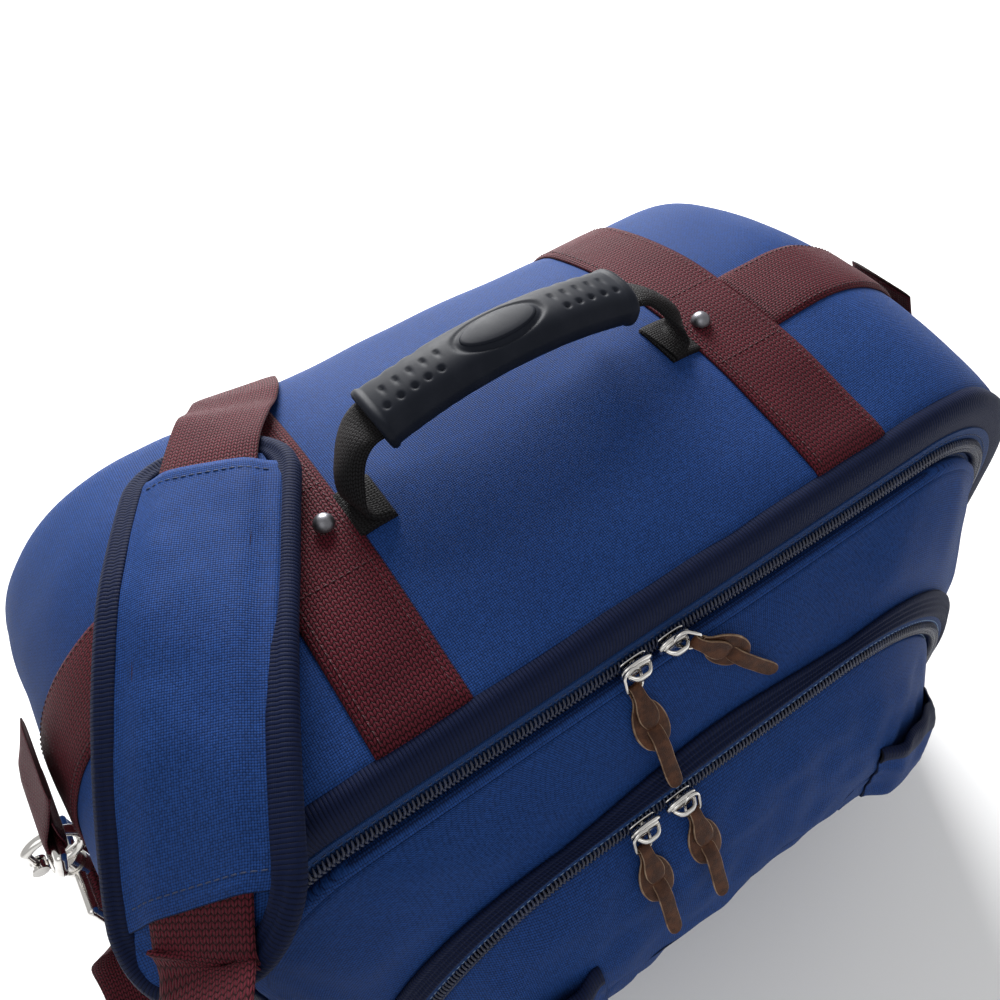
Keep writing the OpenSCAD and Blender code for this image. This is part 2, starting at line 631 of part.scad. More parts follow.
// Route of the webbing's middle line: [point, direction of its width]
web_half = web_t / 2;
bar_low = hook_z + loop_low;
function on_pad(s, up = 0) =
    [pad_point(s, 0, pad_t + 1.5 + up + web_half), [-pad_side[0], -pad_side[1], -pad_tilt(s)]];
floor_z = strap_w / 2 + 0.8;
// Point at an angle round the back edge, from 0 on the roof to 90 on the back, at a lift above it
function back_edge(x, a, lift) = let(y = back_d - back_r + back_r * sin(a))
    [x, y + lift * sin(a), crown(y) - back_r * (1 - cos(a)) + lift * cos(a)];
web_route = [
    [[hook_x, 0, bar_low - 4], [0, 1, 0]],
    [[hook_x, 0, 150], [0, 1, 0]],
    [[hook_x, 0, 122], [0, 1, 0]],
    [[hook_x + 0.4, 0.6, 106], [0.1, 1, 0]],
    [[hook_x + 3, 6, 82], [0.5, 0.86, 0]],
    [[262, 22, 56], [0.95, 0.3, 0.1]],
    [[272, 52, 34], [0.85, 0, 0.5]],
    [[281, 88, 23], [0.3, 0, 0.95]],
    [[278, 126, floor_z], [0, 0, 1]],
    [[256, 158, floor_z], [0, 0, 1]],
    [[218, 173, floor_z], [0, 0, 1]],
    [[160, 169, floor_z], [0, 0, 1]],
    [[95, 158, floor_z], [0, 0, 1]],
    [[30, 157, floor_z], [0, 0, 1]],
    [[-25, 166, floor_z], [0, 0, 1]],
    [[-62, 168, 27], [0.3, 0.1, 0.95]],
    [[-84, 160, 54], [0.8, 0.2, 0.55]],
    [[-92, 148, 96], [1, 0.1, 0.1]],
    [[-91, 139, 160], [1, 0, 0]],
    [[-89, 135, 230], [1, 0, 0]],
    [back_edge(-88, 84, 5.6), [1, 0, 0]],
    [back_edge(-88.4, 58, 5.6), [1, -0.05, 0]],
    [back_edge(-90, 32, 5.6), [0.98, -0.15, 0]],
    [back_edge(-92.5, 8, 5.8), [0.95, -0.3, 0]],
    [on_roof(-98.5, 90, 7.5), [0.92, -0.4, 0]],
    [on_roof(-105, 78, 12.2), [0.89, -0.454, 0]],
    on_pad(0.03), on_pad(0.13), on_pad(0.25), on_pad(0.4), on_pad(0.55),
    on_pad(0.7), on_pad(0.82), on_pad(0.9), on_pad(0.95, 1.2), on_pad(0.98, 1.6),
    [[-211, -133, 303], [0.85, -0.42, 0.5]],
    [[-228, -151, 268], [0.93, -0.33, 0.1]],
    [[-240, -153, 226], [0.97, -0.22, 0]],
    [[-253, -141, 176], [1, -0.1, 0]],
    [[-262, -112, 136], [1, 0, 0]],
    [[-265, -74, 118], [1, 0, 0]],
    [[-262, -36, 124], [0.94, 0.2, 0.3]],
    [[-257, -12, 140], [0.5, 0.8, 0.3]],
    [[-252.4, -1.5, 160], [0.1, 1, 0.05]],
    [[-hook_x, 0, bar_low - 4], [0, 1, 0]],
];
function mix(a, b, c, d, t) = 0.5 * (2 * b + (c - a) * t + (2 * a - 5 * b + 4 * c - d) * t * t
    + (3 * b - a - 3 * c + d) * t * t * t);
last = len(web_route) - 1;
function route_at(i, t, k) = mix(web_route[max(i - 1, 0)][k], web_route[i][k], web_route[i + 1][k],
    web_route[min(i + 2, last)][k], t);
route_points = concat([for (i = [0:last - 1]) for (t = [0, 0.5]) [route_at(i, t, 0), unit(route_at(i, t, 1))]],
    [web_route[last]]);
function web_ring(i) = let(
    p = route_points[i][0], n = len(route_points) - 1,
    dir = unit(route_points[min(i + 1, n)][0] - route_points[max(i - 1, 0)][0]),
    w0 = route_points[i][1], w = unit(w0 - dir * (w0 * dir)), up = cross(dir, w))
    [p + w * strap_w / 2 + up * web_half, p - w * strap_w / 2 + up * web_half,
     p - w * strap_w / 2 - up * web_half, p + w * strap_w / 2 - up * web_half];
module shoulder_webbing() color(maroon) {
    loft([for (i = [len(route_points) - 1:-1:0]) web_ring(i)]);
    for (s = [-1, 1]) mirror_to(s) hook_place() difference() {
        bar_y(0, loop_low, loop_wire + 0.3 + web_t, strap_w);
        bar_y(0, loop_low, loop_wire + 0.3, strap_w + 2);
    }
}
adjuster_z = 140;
rail_w = 3.6;
module adjuster() color(steel) translate([hook_x, 0, adjuster_z]) {
    for (s = [-1, 1]) translate([0, s * (strap_w / 2 + 0.5 + rail_w / 2), 0]) cube([8, rail_w, 22], center = true);
    for (s = [-1, 1]) bar_y(-2.9, s * 8.8, 1.6, strap_w + 4);
    bar_y(2.9, 0, 1.6, strap_w + 4);
}

shell();
back_panel();
back_piping();
lining();
base_board();
dividers();
feet();
foot_rivets();
front_binding();
zip_tape_body();
zip_coil_body();
cross_strap_left();
cross_strap_right();
end_strap_left();
end_strap_right();
strap_rivets();
handle_tabs();
handle_webbing();
grip_upper();
grip_lower();
grip_badge();
door_panel();
door_lining();
zip_tape_door();
zip_coil_door();
organiser_gusset();
organiser_binding();
organiser_tape();
organiser_coil();
flap_panel();
flap_tape();
flap_coil();
pocket_left();
pocket_right();
slider_left();
slider_right();
bail_left();
bail_right();
pull_left();
pull_right();
organiser_slider_left();
organiser_slider_right();
organiser_bail_left();
organiser_bail_right();
organiser_pull_left();
organiser_pull_right();
ring_tabs();
d_ring_left();
d_ring_right();
strap_loops();
hook_left();
hook_right();
gate_left();
gate_right();
adjuster();
shoulder_webbing();
shoulder_pad();
pad_cover();
pad_binding();
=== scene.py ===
"""Looks for the soft flight bag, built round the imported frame. Lengths are millimetres until a mesh is made."""
import math

import bmesh
import bpy
import numpy as np
from mathutils import Matrix, Vector, noise
from mathutils.bvhtree import BVHTree


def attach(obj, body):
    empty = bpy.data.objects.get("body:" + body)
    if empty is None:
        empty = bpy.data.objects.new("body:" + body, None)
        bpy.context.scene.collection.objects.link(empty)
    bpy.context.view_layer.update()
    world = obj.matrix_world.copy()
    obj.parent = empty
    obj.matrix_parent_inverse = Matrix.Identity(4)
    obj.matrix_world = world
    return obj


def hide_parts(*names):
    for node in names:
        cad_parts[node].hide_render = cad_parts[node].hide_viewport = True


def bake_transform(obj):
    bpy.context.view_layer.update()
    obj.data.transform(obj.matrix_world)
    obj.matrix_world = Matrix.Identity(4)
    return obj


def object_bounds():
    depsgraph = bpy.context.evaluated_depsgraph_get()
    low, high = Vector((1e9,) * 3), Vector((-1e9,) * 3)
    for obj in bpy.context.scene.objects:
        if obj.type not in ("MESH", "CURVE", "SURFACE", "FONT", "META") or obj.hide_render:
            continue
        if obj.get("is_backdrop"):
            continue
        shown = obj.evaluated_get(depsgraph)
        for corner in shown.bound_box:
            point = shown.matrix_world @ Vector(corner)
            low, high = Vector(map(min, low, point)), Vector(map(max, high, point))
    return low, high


MM = 0.001
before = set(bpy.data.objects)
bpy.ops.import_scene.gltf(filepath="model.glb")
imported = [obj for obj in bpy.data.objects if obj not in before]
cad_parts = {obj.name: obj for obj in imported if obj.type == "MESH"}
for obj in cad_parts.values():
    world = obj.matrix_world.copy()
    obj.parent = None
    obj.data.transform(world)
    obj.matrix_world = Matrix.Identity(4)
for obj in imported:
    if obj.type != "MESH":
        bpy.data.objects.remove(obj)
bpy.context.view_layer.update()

# ---- The body's surface, with the same numbers as the CAD ----

HALF_L, CREST, FRONT, BACK, FOOT = 232.0, 330.0, -90.0, 128.0, 8.0
TOP_R, LOW_R, CROWN_R, CROWN_Y, BACK_R = 85.0, 50.0, 280.0, 8.0, 30.0
STRAP_X, STRAP_W = 105.0, 40.0
TAPE_Y, COIL_Y = FRONT - 5, FRONT - 6.4
ZIP_IN, ZIP_LOW = 25.0, 60.0
ORG_HALF, ORG_LOW, ORG_TOP, ORG_R, ORG_LOW_R, ORG_Y = 178.0, 76.0, 240.0, 110.0, 40.0, -133.0
DOOR_FRONT = COIL_Y - 7
SIDES = ((-1, "left"), (1, "right"))
FORWARD, BACKWARD = np.array([0.0, -1.0, 0.0]), np.array([0.0, 1.0, 0.0])


def smooth(x, low, high):
    t = np.clip((np.asarray(x, float) - low) / (high - low), 0, 1)
    return t * t * (3 - 2 * t)


def ripple(points, size, seed=0):
    """Smooth noise, about -0.5 to 0.5, over an array of points."""
    p = np.asarray(points, float)
    shift = Vector((seed * 7.3, seed * 3.1, seed * 1.7))
    flat = [noise.noise(Vector(q) / size + shift) for q in p.reshape(-1, 3)]
    return np.array(flat).reshape(p.shape[:-1])


def unit(v):
    v = np.asarray(v, float)
    return v / np.maximum(np.linalg.norm(v, axis=-1, keepdims=True), 1e-9)


def facing(direction, points):
    """The same direction at every point."""
    return np.broadcast_to(direction, np.shape(points))


def swell(x, power):
    """Sine or cosine raised to a power with its sign kept, for rounded box sections."""
    return np.sign(x) * np.abs(x) ** power


def crown(y):
    return CREST - CROWN_R + np.sqrt(CROWN_R**2 - (np.asarray(y, float) - CROWN_Y) ** 2)


FRONT_TOP = float(crown(FRONT))


def outline(hw, z0, z1, rt, rb, y=0.0, step=4.5):
    """Rounded upright outline, up from the right end's lower corner and round: points and outward normals."""
    arc_t, arc_b = max(int(130 / step), 6), max(int(75 / step), 5)
    side, top, low = int(190 / step), int(300 / step), int(370 / step)
    pts, nor = [], []

    def arc(cx, cz, r, a0, a1, n):
        for k in range(n):
            a = math.radians(a0 + (a1 - a0) * k / n)
            pts.append((cx + r * math.cos(a), cz + r * math.sin(a)))
            nor.append((math.cos(a), math.sin(a)))

    def line(p, q, normal, n):
        for k in range(n):
            t = k / n
            pts.append((p[0] + (q[0] - p[0]) * t, p[1] + (q[1] - p[1]) * t))
            nor.append(normal)

    line((hw, z0 + rb), (hw, z1 - rt), (1, 0), side)
    arc(hw - rt, z1 - rt, rt, 0, 90, arc_t)
    line((hw - rt, z1), (rt - hw, z1), (0, 1), top)
    arc(rt - hw, z1 - rt, rt, 90, 180, arc_t)
    line((-hw, z1 - rt), (-hw, z0 + rb), (-1, 0), side)
    arc(rb - hw, z0 + rb, rb, 180, 270, arc_b)
    line((rb - hw, z0), (hw - rb, z0), (0, -1), low)
    arc(hw - rb, z0 + rb, rb, 270, 360, arc_b)
    p, n = np.array(pts), np.array(nor)
    flat = np.full(len(p), float(y))
    return np.stack([p[:, 0], flat, p[:, 1]], 1), np.stack([n[:, 0], flat * 0, n[:, 1]], 1)


def body_outline(y, inset, step=4.5):
    return outline(HALF_L - inset, FOOT + inset, float(crown(y)) - inset,
                   max(TOP_R - inset, 4), max(LOW_R - inset, 4), y, step)


def front_outline(inset, y, step=4.5):
    return outline(HALF_L - inset, FOOT + inset, FRONT_TOP - inset,
                   max(TOP_R - inset, 4), max(LOW_R - inset, 4), y, step)


def organiser_outline(inset, y, step=4.5):
    return outline(ORG_HALF - inset, ORG_LOW + inset, ORG_TOP - inset, ORG_R - inset,
                   max(ORG_LOW_R - inset, 4), y, step)


def door_outline(inset, y, step=4.5):
    return outline(197 - inset, 44 + inset, FRONT_TOP - 33 - inset, 52, 20, y, step)


# Depth stations of the body: y, inset there and the angle that the surface has turned towards the back
EDGE_ROLL = 6.0
STATIONS = [(FRONT + EDGE_ROLL * (1 - math.sin(a)), EDGE_ROLL * (1 - math.cos(a)), -a)
            for a in np.radians([78, 60, 40, 20])]
STATIONS += [(y, 0.0, 0.0) for y in np.linspace(FRONT + EDGE_ROLL, BACK - BACK_R, 46)]
STATIONS += [(BACK - BACK_R + BACK_R * math.sin(a), BACK_R * (1 - math.cos(a)), a)
             for a in np.radians([8, 16, 25, 34, 43, 52, 61, 70, 80, 90])]


def relief(p, n):
    """How far the filled cloth stands out: pillowed between straps, pressed in under them, softly uneven."""
    x, y, z = p[..., 0], p[..., 1], p[..., 2]
    ax = np.abs(x)
    up, end = smooth(n[..., 2], 0.4, 0.9), smooth(np.abs(n[..., 0]), 0.6, 0.95)
    back = smooth(n[..., 1], 0.7, 0.98)
    low = smooth(-n[..., 2], 0.2, 0.8)
    under = np.exp(-(((ax - STRAP_X) / 22.5) ** 8))
    over_end = np.exp(-((y / 23) ** 8)) * smooth(ax, 120, 135)
    pillow = np.clip(1 - (x / 84) ** 2, 0, 1)
    wide = ripple(p, 95, 1)
    fine = ripple(p, 34, 2)
    h = up * (1.8 * pillow + 2.2 * wide + 0.9 * fine - 0.9 * under - 0.5 * over_end)
    belly = np.cos(np.clip((z - 150) / 150, -1, 1) * math.pi / 2)
    h = h + end * (3.2 * belly + 3.0 * wide + 1.4 * fine - 0.5 * over_end)
    h = h + back * (0.6 * wide)
    # Dints where the ends of the folded grip land
    h = h - up * 1.9 * np.exp(-(((ax - 58) / 14) ** 2) - ((y - 29) / 13) ** 2)
    edge = smooth(y, FRONT, FRONT + 26) * (1 - low) * smooth(z, 10, 30)
    return h * edge


def skin(p, n, lift=0.0):
    return p + n * (relief(p, n) + lift)[..., None]


def body_normals(n, turn):
    """Outline normals tipped back by the station's angle."""
    t = np.asarray(turn)[..., None] * np.ones(n.shape[:-1])[..., None]
    return unit(n * np.cos(t) + np.array([0, 1.0, 0]) * np.sin(t))


def roof_z(x, y):
    """Height of the roof, rounded towards the back and both ends."""
    b = np.clip(np.asarray(y, float) - BACK + BACK_R, 0, BACK_R)
    e = np.clip(np.abs(x) - HALF_L + TOP_R, 0, TOP_R)
    return crown(y) - (BACK_R - np.sqrt(BACK_R**2 - b * b)) - (TOP_R - np.sqrt(TOP_R**2 - e * e))


# ---- Materials ----


class Shade:
    """One procedural material. A socket or a number can go wherever a value is wanted."""

    def __init__(self, name, **fixed):
        self.material = bpy.data.materials.new(name)
        self.material.use_nodes = True
        self.tree = self.material.node_tree
        self.shader = self.tree.nodes["Principled BSDF"]
        for key, value in fixed.items():
            self.shader.inputs[key.replace("_", " ")].default_value = value
        self.place = self.node("TexCoord").outputs["Object"]
        uv = self.node("SeparateXYZ")
        self.tree.links.new(self.node("UVMap", uv_map="cloth").outputs[0], uv.inputs[0])
        self.u, self.v = uv.outputs[0], uv.outputs[1]

    def put(self, socket, value):
        if isinstance(value, bpy.types.NodeSocket):
            self.tree.links.new(value, socket)
        else:
            socket.default_value = value

    def node(self, kind, **props):
        made = self.tree.nodes.new("ShaderNode" + kind)
        for key, value in props.items():
            setattr(made, key, value)
        return made

    def math(self, op, a, b=0.0, c=0.0):
        made = self.node("Math", operation=op)
        for socket, value in zip(made.inputs, (a, b, c)):
            self.put(socket, value)
        return made.outputs[0]

    def times(self, a, b):
        return self.math("MULTIPLY", a, b)

    def scaled(self, x, gain, shift):
        """x times gain, plus shift."""
        return self.math("MULTIPLY_ADD", x, gain, shift)

    def noise(self, size, detail=2.0, roughness=0.5, stretch=None):
        """Noise whose features are about size mm across, read at the object's own place."""
        made = self.node("TexNoise")
        where = self.place
        if stretch:
            mapping = self.node("Mapping")
            self.tree.links.new(where, mapping.inputs["Vector"])
            mapping.inputs["Scale"].default_value = stretch
            where = mapping.outputs[0]
        self.tree.links.new(where, made.inputs["Vector"])
        made.inputs["Scale"].default_value = 1 / (size * MM)
        made.inputs["Detail"].default_value = detail
        made.inputs["Roughness"].default_value = roughness
        return made.outputs["Fac"]

    def range(self, x, low, high, to_low=0.0, to_high=1.0):
        made = self.node("MapRange", interpolation_type="SMOOTHSTEP")
        for socket, value in zip(made.inputs, (x, low, high, to_low, to_high)):
            self.put(socket, value)
        return made.outputs[0]

    def mix(self, share, a, b, blend="MIX"):
        made = self.node("Mix", data_type="RGBA", blend_type=blend)
        for key, value in ((0, share), (6, a), (7, b)):
            plain = isinstance(value, (bpy.types.NodeSocket, float))
            self.put(made.inputs[key], value if plain else (*value, 1))
        return made.outputs[2]

    def dome(self, x):
        """1 in the middle of each whole step of x and 0 at its ends."""
        t = self.scaled(self.math("FRACT", x), 2, -1)
        return self.math("SUBTRACT", 1, self.times(t, t))

    def odd(self, x):
        """0 or a half, in turn, on each whole step of x."""
        return self.math("FRACT", self.times(self.math("FLOOR", x), 0.5))

    def colour(self, socket):
        self.tree.links.new(socket, self.shader.inputs["Base Color"])

    def rough(self, socket):
        self.tree.links.new(socket, self.shader.inputs["Roughness"])

    def bump(self, height, distance, strength=1.0):
        made = self.node("Bump")
        self.tree.links.new(height, made.inputs["Height"])
        made.inputs["Distance"].default_value = distance * MM
        made.inputs["Strength"].default_value = strength
        self.tree.links.new(made.outputs[0], self.shader.inputs["Normal"])


def plain_weave(name, gap_shade, warp, weft, pitch):
    """Woven cloth: threads over and under, each a little different, with painted shade in the low gaps between
    them, fading and rubbed in places.
    """
    s = Shade(name, Sheen_Weight=0.04, Sheen_Roughness=0.35, Sheen_Tint=(0.4, 0.55, 1, 1),
              Specular_IOR_Level=0.12)
    us, vs = s.math("DIVIDE", s.u, pitch), s.math("DIVIDE", s.v, pitch)
    over = s.times(s.odd(s.math("ADD", s.math("FLOOR", us), s.math("FLOOR", vs))), 2.0)
    a, b = s.dome(us), s.dome(vs)
    lift_a = s.times(s.math("SQRT", a), s.scaled(b, 0.6, 0.4))
    lift_b = s.times(s.math("SQRT", b), s.scaled(a, 0.6, 0.4))
    height = s.math("ADD", s.times(over, lift_a),
                    s.times(s.math("SUBTRACT", 1, over), lift_b))
    thread = s.mix(over, weft, warp)
    grain = s.noise(pitch * 1.6, 3, 0.7)
    thread = s.mix(s.range(grain, 0.35, 0.7), thread, tuple(min(c * 1.35, 1) for c in warp))
    # Low places between threads take the gap colour, which is painted shade.
    cloth = s.mix(s.range(height, 0.15, 0.75), gap_shade, thread)
    patch = s.range(s.noise(60, 3, 0.55), 0.35, 0.68)
    s.colour(s.mix(patch, cloth, (0.90, 0.92, 0.95), "MULTIPLY"))
    s.rough(s.scaled(grain, 0.25, 0.56))
    s.bump(height, 0.22, 0.8)
    return s.material


def heavy_webbing(name, gap_shade, dark, light, column, row, depth=0.5):
    """Heavy webbing: columns of slanted stitches that lean left and right in turn, with painted shade darkening the
    edges of each stitch.
    """
    s = Shade(name, Sheen_Weight=0.03, Sheen_Roughness=0.4, Sheen_Tint=(1, 0.7, 0.7, 1), Specular_IOR_Level=0.1)
    us = s.math("DIVIDE", s.u, column)
    lean = s.scaled(s.odd(us), 4.0, -1.0)
    across = s.times(s.math("SUBTRACT", s.math("FRACT", us), 0.5), lean)
    vs = s.math("ADD", s.math("DIVIDE", s.v, row), s.times(across, 0.55))
    a, b = s.dome(us), s.dome(vs)
    height = s.times(s.math("POWER", a, 0.4), s.math("POWER", b, 0.45))
    grain = s.noise(0.5, 3, 0.7)
    yarn = s.mix(s.range(grain, 0.3, 0.7), dark, light)
    # Low edges of each stitch take the gap colour, which is painted shade.
    body = s.mix(s.range(height, 0.35, 0.9), gap_shade, yarn)
    patch = s.range(s.noise(25, 3, 0.6), 0.35, 0.7)
    s.colour(s.mix(patch, body, (0.84, 0.84, 0.86), "MULTIPLY"))
    s.rough(s.scaled(grain, 0.25, 0.5))
    s.bump(s.scaled(grain, 0.15, height), depth, 0.9)
    return s.material


def ribbed_tape(name, gap_shade, light, pitch):
    """Grosgrain: round ribs straight across the tape, crossed by fine thread, with painted shade in the valleys
    between ribs.
    """
    s = Shade(name, Sheen_Weight=0.02, Sheen_Roughness=0.4, Sheen_Tint=(0.5, 0.6, 1, 1), Specular_IOR_Level=0.1)
    rib = s.math("SQRT", s.dome(s.math("DIVIDE", s.v, pitch)))
    fine = s.dome(s.math("DIVIDE", s.u, 0.55))
    grain = s.noise(0.6, 3, 0.7)
    height = s.scaled(fine, 0.18, rib)
    # Rib valleys take the gap colour, which is painted shade, broken up by random grain.
    s.colour(s.mix(s.range(s.scaled(grain, 0.5, height), 0.45, 1.35), gap_shade, light))
    s.rough(s.scaled(grain, 0.25, 0.55))
    s.bump(height, 0.35, 0.8)
    return s.material


def moulded(name, base, worn, roughness, size, depth, **fixed):
    """Moulded or cast stuff: a fine grain, rubbed and dusty patches."""
    s = Shade(name, **fixed)
    grain, patch = s.noise(size, 4, 0.65), s.noise(14, 4, 0.6)
    s.colour(s.mix(s.range(patch, 0.42, 0.75), base, worn))
    s.rough(s.math("ADD", s.scaled(grain, 0.14, roughness - 0.07), s.scaled(patch, 0.16, -0.08)))
    s.bump(grain, depth, 0.5)
    return s.material


def hide(name, dark, light, pale=None):
    """Leather: small cracked cells, with darker and rubbed patches."""
    s = Shade(name, Specular_IOR_Level=0.25)
    cell = s.node("TexVoronoi", feature="DISTANCE_TO_EDGE")
    s.tree.links.new(s.place, cell.inputs["Vector"])
    cell.inputs["Scale"].default_value = 1 / (0.9 * MM)
    crack = s.range(cell.outputs["Distance"], 0.0, 0.16)
    patch, grain = s.noise(5, 4, 0.65), s.noise(0.4, 3, 0.7)
    skin_colour = s.mix(s.range(patch, 0.35, 0.7), dark, light)
    s.colour(s.mix(s.range(grain, 0.62, 0.8), skin_colour, pale or light))
    s.rough(s.scaled(patch, 0.3, 0.42))
    s.bump(s.math("ADD", crack, s.times(grain, 0.6)), 0.14, 0.7)
    return s.material


# The first colour of each woven cloth here is painted shade for the gaps between threads.
BLUE = plain_weave("polyester_weave", (0.002, 0.007, 0.033), (0.010, 0.043, 0.175), (0.005, 0.031, 0.130), 0.95)
BLUE_FINE = plain_weave("zip_tape_weave", (0.0015, 0.007, 0.030), (0.007, 0.034, 0.125), (0.004, 0.026, 0.098),
                        0.7)
LINING = plain_weave("lining_weave", (0.03, 0.032, 0.036), (0.16, 0.165, 0.18), (0.12, 0.125, 0.14), 0.6)
# The first colour of each webbing here is painted shade for the gaps between stitches.
MAROON = heavy_webbing("maroon_yarn", (0.009, 0.0008, 0.0016), (0.062, 0.0060, 0.0110), (0.130, 0.015, 0.027),
                       1.25, 2.15)
BLACK = heavy_webbing("black_yarn", (0.001, 0.001, 0.001), (0.007, 0.007, 0.008), (0.018, 0.018, 0.019),
                      1.1, 1.6, 0.4)
# The first colour of the ribbed tape is painted shade for the valleys between ribs.
NAVY = ribbed_tape("navy_ribs", (0.0006, 0.0012, 0.006), (0.0035, 0.008, 0.034), 1.5)
THREAD = moulded("stitch_thread", (0.012, 0.024, 0.07), (0.02, 0.036, 0.09), 0.6, 0.4, 0.1)
THREAD_PALE = moulded("stitch_thread_pale", (0.12, 0.20, 0.34), (0.18, 0.28, 0.42), 0.6, 0.4, 0.1)
THREAD_RED = moulded("stitch_thread_red", (0.04, 0.007, 0.012), (0.06, 0.014, 0.02), 0.6, 0.4, 0.1)
NYLON = moulded("coil_nylon", (0.005, 0.009, 0.030), (0.010, 0.018, 0.055), 0.32, 0.7, 0.06)
RUBBER = moulded("grip_moulding", (0.006, 0.008, 0.014), (0.010, 0.012, 0.019), 0.56, 0.7, 0.04,
                 Specular_IOR_Level=0.13)
FOOT_RUBBER = moulded("foot_moulding", (0.012, 0.012, 0.013), (0.04, 0.038, 0.036), 0.7, 0.5, 0.1)
BOARD = moulded("board_face", (0.018, 0.018, 0.020), (0.04, 0.04, 0.042), 0.75, 0.35, 0.25)
NICKEL = moulded("bright_nickel", (0.72, 0.70, 0.67), (0.56, 0.54, 0.52), 0.15, 3.0, 0.03, Metallic=1.0)
DULL = moulded("rivet_nickel", (0.22, 0.22, 0.24), (0.13, 0.13, 0.14), 0.42, 1.5, 0.05, Metallic=1.0)
LEATHER = hide("brown_hide", (0.036, 0.0115, 0.0045), (0.092, 0.034, 0.0145))
LEATHER_EDGE = hide("cut_hide", (0.16, 0.09, 0.05), (0.34, 0.24, 0.16), (0.42, 0.33, 0.23))

# ---- Mesh making ----


def add(name, verts, faces, material, body="root", uv=None, replaces=(), soft=True):
    """New piece from millimetre points, riding on a body, with a uv pair in millimetres for each face corner."""
    mesh = bpy.data.meshes.new(name)
    mesh.from_pydata((np.asarray(verts, float) * MM).tolist(), [], faces)
    if uv is not None:
        mesh.uv_layers.new(name="cloth").data.foreach_set("uv", np.asarray(uv, float).ravel())
    if soft:
        mesh.shade_smooth()
    mesh.materials.append(material)
    piece = bpy.data.objects.new(name, mesh)
    bpy.context.scene.collection.objects.link(piece)
    if body:
        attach(piece, body)
    if replaces:
        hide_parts(*([replaces] if isinstance(replaces, str) else replaces))
    return piece


def face_outward(verts, faces):
    """True if the closed mesh's faces look outwards."""
    v = np.asarray(verts, float)
    total = 0.0
    for f in faces:
        for k in range(1, len(f) - 1):
            total += np.dot(v[f[0]], np.cross(v[f[k]], v[f[k + 1]]))
    return total >= 0


def lengths(rows, axis):
    """Distances along one axis of a grid of points, averaged over the other."""
    step = np.linalg.norm(np.diff(rows, axis=axis), axis=-1)
    mean = step.mean(axis=1 - axis)
    return np.concatenate([[0], np.cumsum(mean)])


def grid(name, rows, material, body="root", around=False, along=False, ends=False, flat=None, **extra):
    """Piece from rows of points. around closes each row, along joins last row to first, ends caps a tube."""
    rows = np.asarray(rows, float)
    m, n = rows.shape[:2]
    wide = np.concatenate([rows, rows[:, :1]], 1) if around else rows
    tall = np.concatenate([rows, rows[:1]], 0) if along else rows
    u, v = lengths(wide, 1), lengths(tall, 0)
    i, j = np.meshgrid(np.arange(m if along else m - 1), np.arange(n if around else n - 1), indexing="ij")
    i, j = i.ravel(), j.ravel()
    i2, j2 = (i + 1) % m, (j + 1) % n
    quads = np.stack([i * n + j, i * n + j2, i2 * n + j2, i2 * n + j], 1)
    if flat:
        uv = rows.reshape(-1, 3)[quads][..., list(flat)]
    else:
        uv = np.stack([np.stack([u[j], v[i]], 1), np.stack([u[j + 1], v[i]], 1),
                       np.stack([u[j + 1], v[i + 1]], 1), np.stack([u[j], v[i + 1]], 1)], 1)
    faces, uv = quads.tolist(), uv.reshape(-1, 2)
    verts = rows.reshape(-1, 3)
    if ends:
        faces += [list(range(n))[::-1], list(range((m - 1) * n, m * n))]
        uv = np.concatenate([uv, np.zeros((2 * n, 2))])
    if (ends or (around and along)) and not face_outward(verts, faces):
        corners = np.cumsum([len(f) for f in faces])[:-1]
        faces = [f[::-1] for f in faces]
        uv = np.concatenate([p[::-1] for p in np.split(uv, corners)])
    return add(name, verts, faces, material, body, uv, **extra)


def loft(name, rings, material, body="root", **extra):
    """Closed piece through rings of points, with both ends capped."""
    return grid(name, rings, material, body, around=True, ends=True, **extra)


def sheet(name, upper, lower, material, body="root", **extra):
    """Closed piece between two faces, each a grid of points."""
    return loft(name, np.concatenate([upper, lower[:, ::-1]], 1), material, body, **extra)


def sweep(name, points, across, up, profile, material, body="root", closed=False, **extra):
    """Carries a closed section along a route of points with an across and an up direction at each."""
    profile = np.asarray(profile, float)
    rows = (np.asarray(points)[:, None] + np.asarray(across)[:, None] * profile[None, :, :1]
            + np.asarray(up)[:, None] * profile[None, :, 1:])
    return grid(name, rows, material, body, around=True, along=closed, ends=not closed, **extra)


def even(points, step, *others):
    """Points at an even step along a polyline, with its other arrays carried along."""
    points = np.asarray(points, float)
    s = np.concatenate([[0], np.cumsum(np.linalg.norm(np.diff(points, axis=0), axis=1))])
    at = np.linspace(0, s[-1], max(int(round(s[-1] / step)), 2) + 1)
    return [np.stack([np.interp(at, s, np.asarray(a, float)[:, k]) for k in range(3)], 1)
            for a in (points, *others)]


def copies(name, template, faces, places, x, y, z, material, body="root", **extra):
    """One mesh with a copy of the template at each place, with its own axes there."""
    t = np.asarray(template, float)[None]
    verts = places[:, None] + t[..., :1] * x[:, None] + t[..., 1:2] * y[:, None] + t[..., 2:] * z[:, None]
    n = len(template)
    every = [[k * n + i for i in f] for k in range(len(places)) for f in faces]
    return add(name, verts.reshape(-1, 3), every, material, body, **extra)


def tube_faces(m, n, closed=False):
    """Faces of a tube of m rings of n points, capped or joined end to end."""
    faces = [[i * n + j, i * n + (j + 1) % n, (i + 1) % m * n + (j + 1) % n, (i + 1) % m * n + j]
             for i in range(m if closed else m - 1) for j in range(n)]
    return faces if closed else faces + [list(range(n))[::-1], list(range((m - 1) * n, m * n))]


def tube_template(rings, sides=6):
    """Closed lump along the first axis, from rings of (along, centre height, half width, half height)."""
    turns = [2 * math.pi * k / sides for k in range(sides)]
    verts = [(a, w * math.cos(g), c + h * math.sin(g)) for a, c, w, h in rings for g in turns]
    return verts, tube_faces(len(rings), sides)


